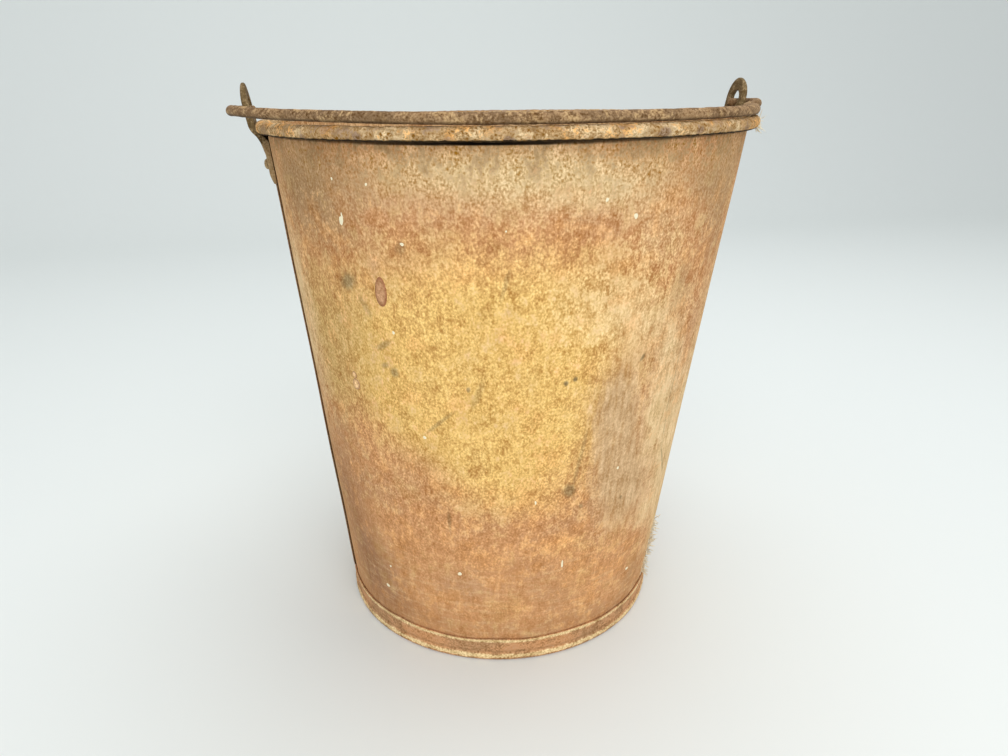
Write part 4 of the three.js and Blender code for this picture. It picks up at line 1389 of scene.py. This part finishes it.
def build_floor(scene, stage):
    """A pale floor that sweeps up behind: a line along the floor, a quarter round and a line up."""
    bend = np.linspace(0, math.pi / 2, 16)
    sweep = np.stack([SWEEP_START + SWEEP_RADIUS * np.sin(bend), SWEEP_RADIUS * (1 - np.cos(bend))], axis=-1)
    back = SWEEP_START + SWEEP_RADIUS
    path = join(
        line((-FLOOR_REACH, 0), (SWEEP_START, 0), 2),
        sweep,
        line((back, SWEEP_RADIUS), (back, BACKDROP_TOP), 2),
    )
    across = np.array([-FLOOR_REACH, FLOOR_REACH])
    points = np.stack(np.broadcast_arrays(across, path[:, :1], path[:, 1:]), axis=-1)
    first = 2 * np.arange(len(path) - 1)
    faces = np.stack([first, first + 1, first + 3, first + 2], axis=-1)
    mesh = bpy.data.meshes.new("studio_floor")
    mesh.from_pydata(points.reshape(-1, 3).tolist(), [], faces.tolist())
    mesh.materials.append(Shader("studio_floor").finish(tuple(stage.floor), 0.9))
    mesh.shade_smooth()
    floor = bpy.data.objects.new("studio_floor", mesh)
    scene.collection.objects.link(floor)


def build_lights(scene, stage):
    """An even pale world, and two soft lamps turned to the pail."""
    world = bpy.data.worlds.new("studio_world")
    world.use_nodes = True
    background = world.node_tree.nodes["Background"]
    background.inputs["Color"].default_value = ROOM_COLOUR
    background.inputs["Strength"].default_value = stage.world
    scene.world = world
    lamps = [
        ("key_light", (-0.15, -1.75, 1.3), 1.8, stage.key),
        ("top_light", (0.3, 0.3, 1.8), 1.4, stage.top),
    ]
    for name, place, size, power in lamps:
        lamp = bpy.data.lights.new(name, "AREA")
        lamp.size = size
        lamp.energy = power
        holder = bpy.data.objects.new(name, lamp)
        holder.location = place
        aim = np.array(LAMP_AIM) - place
        holder.rotation_euler = (math.acos(-aim[2] / np.linalg.norm(aim)), 0, math.atan2(-aim[0], aim[1]))
        scene.collection.objects.link(holder)


def build_camera(scene, stage, body):
    """The camera: to the left of the front, looking down at the pail."""
    sin, cos = math.sin(stage.turn), math.cos(stage.turn)
    camera = bpy.data.cameras.new("photo_camera")
    camera.lens = stage.lens
    camera.sensor_width = SENSOR_WIDTH
    holder = bpy.data.objects.new("photo_camera", camera)
    holder.location = (
        stage.aside * cos - stage.distance * sin - body.lean,
        -stage.aside * sin - stage.distance * cos,
        stage.eye_height,
    )
    holder.rotation_euler = (math.pi / 2 - stage.pitch, 0, -stage.turn)
    scene.collection.objects.link(holder)
    scene.camera = holder


# Operators

class PAIL_OT_body(bpy.types.Operator):
    """Builds the wall with its seam and rolled rim, and the wire inside the rim"""

    bl_idname = "pail.body"
    bl_label = "Body and Rim"

    def execute(self, context):
        scene = context.scene
        build_body(scene.pail_body, scene.pail_foot, [wall_rust(scene.pail_rust), rim_rust(scene.pail_rust)])
        build_wire(scene.pail_body, [plain_rust(scene.pail_rust)])
        return {"FINISHED"}


class PAIL_OT_foot(bpy.types.Operator):
    """Builds the crowned bottom and the foot hoop"""

    bl_idname = "pail.foot"
    bl_label = "Bottom and Hoop"

    def execute(self, context):
        scene = context.scene
        build_bottom(scene.pail_body, scene.pail_foot, [plain_rust(scene.pail_rust)])
        build_hoop(scene.pail_body, scene.pail_foot, [hoop_rust(scene.pail_rust)])
        return {"FINISHED"}


class PAIL_OT_ears(bpy.types.Operator):
    """Builds both ears and their rivets"""

    bl_idname = "pail.ears"
    bl_label = "Ears and Rivets"

    def execute(self, context):
        scene = context.scene
        material = [ear_rust(scene.pail_rust)]
        half = scene.pail_ear.rivet_pitch / 2
        for name, facing in (("right_ear", 1), ("left_ear", -1)):
            build_ear(scene.pail_body, scene.pail_ear, name, facing, material)
            for end, along in (("front", -half), ("rear", half)):
                rivet = f"{name}_rivet_{end}"
                build_rivet(scene.pail_body, scene.pail_ear, rivet, facing, facing * along, material)
        return {"FINISHED"}


class PAIL_OT_bail(bpy.types.Operator):
    """Builds the bail"""

    bl_idname = "pail.bail"
    bl_label = "Bail"

    def execute(self, context):
        scene = context.scene
        build_bail(scene.pail_body, scene.pail_ear, scene.pail_bail, [bail_rust(scene.pail_rust)])
        return {"FINISHED"}


class PAIL_OT_marks(bpy.types.Operator):
    """Builds the paint splashes, blisters and lint on the wall"""

    bl_idname = "pail.marks"
    bl_label = "Marks"

    def execute(self, context):
        scene = context.scene
        body, foot, rust = scene.pail_body, scene.pail_foot, scene.pail_rust
        blister = drop("red_blister", rust.blister, rust.clot)
        bead = drop("rust_drop", rust.drop, rust.mauve)
        for (name, mark), look in zip(WALL_MARKS.items(), [paint(rust), blister, bead]):
            build_spots(body, foot, name, *mark, [look])
        for name, tuft in LINT_TUFTS.items():
            build_lint(body, name, tuft, [lint(rust)])
        return {"FINISHED"}


class PAIL_OT_stage(bpy.types.Operator):
    """Builds the floor, lights and camera"""

    bl_idname = "pail.stage"
    bl_label = "Stage"

    def execute(self, context):
        scene = context.scene
        build_floor(scene, scene.pail_stage)
        build_lights(scene, scene.pail_stage)
        build_camera(scene, scene.pail_stage, scene.pail_body)
        scene.view_settings.view_transform = "Standard"
        return {"FINISHED"}


class PAIL_PT_panel(bpy.types.Panel):
    """Lists the pail's pieces and sizes"""

    bl_label = "Rusty Pail"
    bl_idname = "PAIL_PT_panel"
    bl_space_type = "VIEW_3D"
    bl_region_type = "UI"
    bl_category = "Pail"

    def draw(self, context):
        for operator in OPERATORS:
            self.layout.operator(operator.bl_idname)
        for group in GROUPS:
            settings = getattr(context.scene, group)
            box = self.layout.box()
            for name in settings.__annotations__:
                box.prop(settings, name)


GROUPS = {
    "pail_body": BodySizes,
    "pail_foot": FootSizes,
    "pail_ear": EarSizes,
    "pail_bail": BailSizes,
    "pail_rust": RustColours,
    "pail_stage": StageSettings,
}
OPERATORS = [PAIL_OT_stage, PAIL_OT_body, PAIL_OT_foot, PAIL_OT_ears, PAIL_OT_bail, PAIL_OT_marks]


def register():
    """Adds the classes, and gives every scene its settings."""
    for kind in (*GROUPS.values(), *OPERATORS, PAIL_PT_panel):
        bpy.utils.register_class(kind)
    for name, kind in GROUPS.items():
        setattr(bpy.types.Scene, name, PointerProperty(type=kind))


def unregister():
    """Takes the settings and the classes away again."""
    for name in GROUPS:
        delattr(bpy.types.Scene, name)
    for kind in reversed((*GROUPS.values(), *OPERATORS, PAIL_PT_panel)):
        bpy.utils.unregister_class(kind)


def main():
    """Builds the pail and its studio."""
    register()
    bpy.ops.pail.stage()
    bpy.ops.pail.body()
    bpy.ops.pail.foot()
    bpy.ops.pail.ears()
    bpy.ops.pail.bail()
    bpy.ops.pail.marks()


if __name__ == "__main__":
    main()
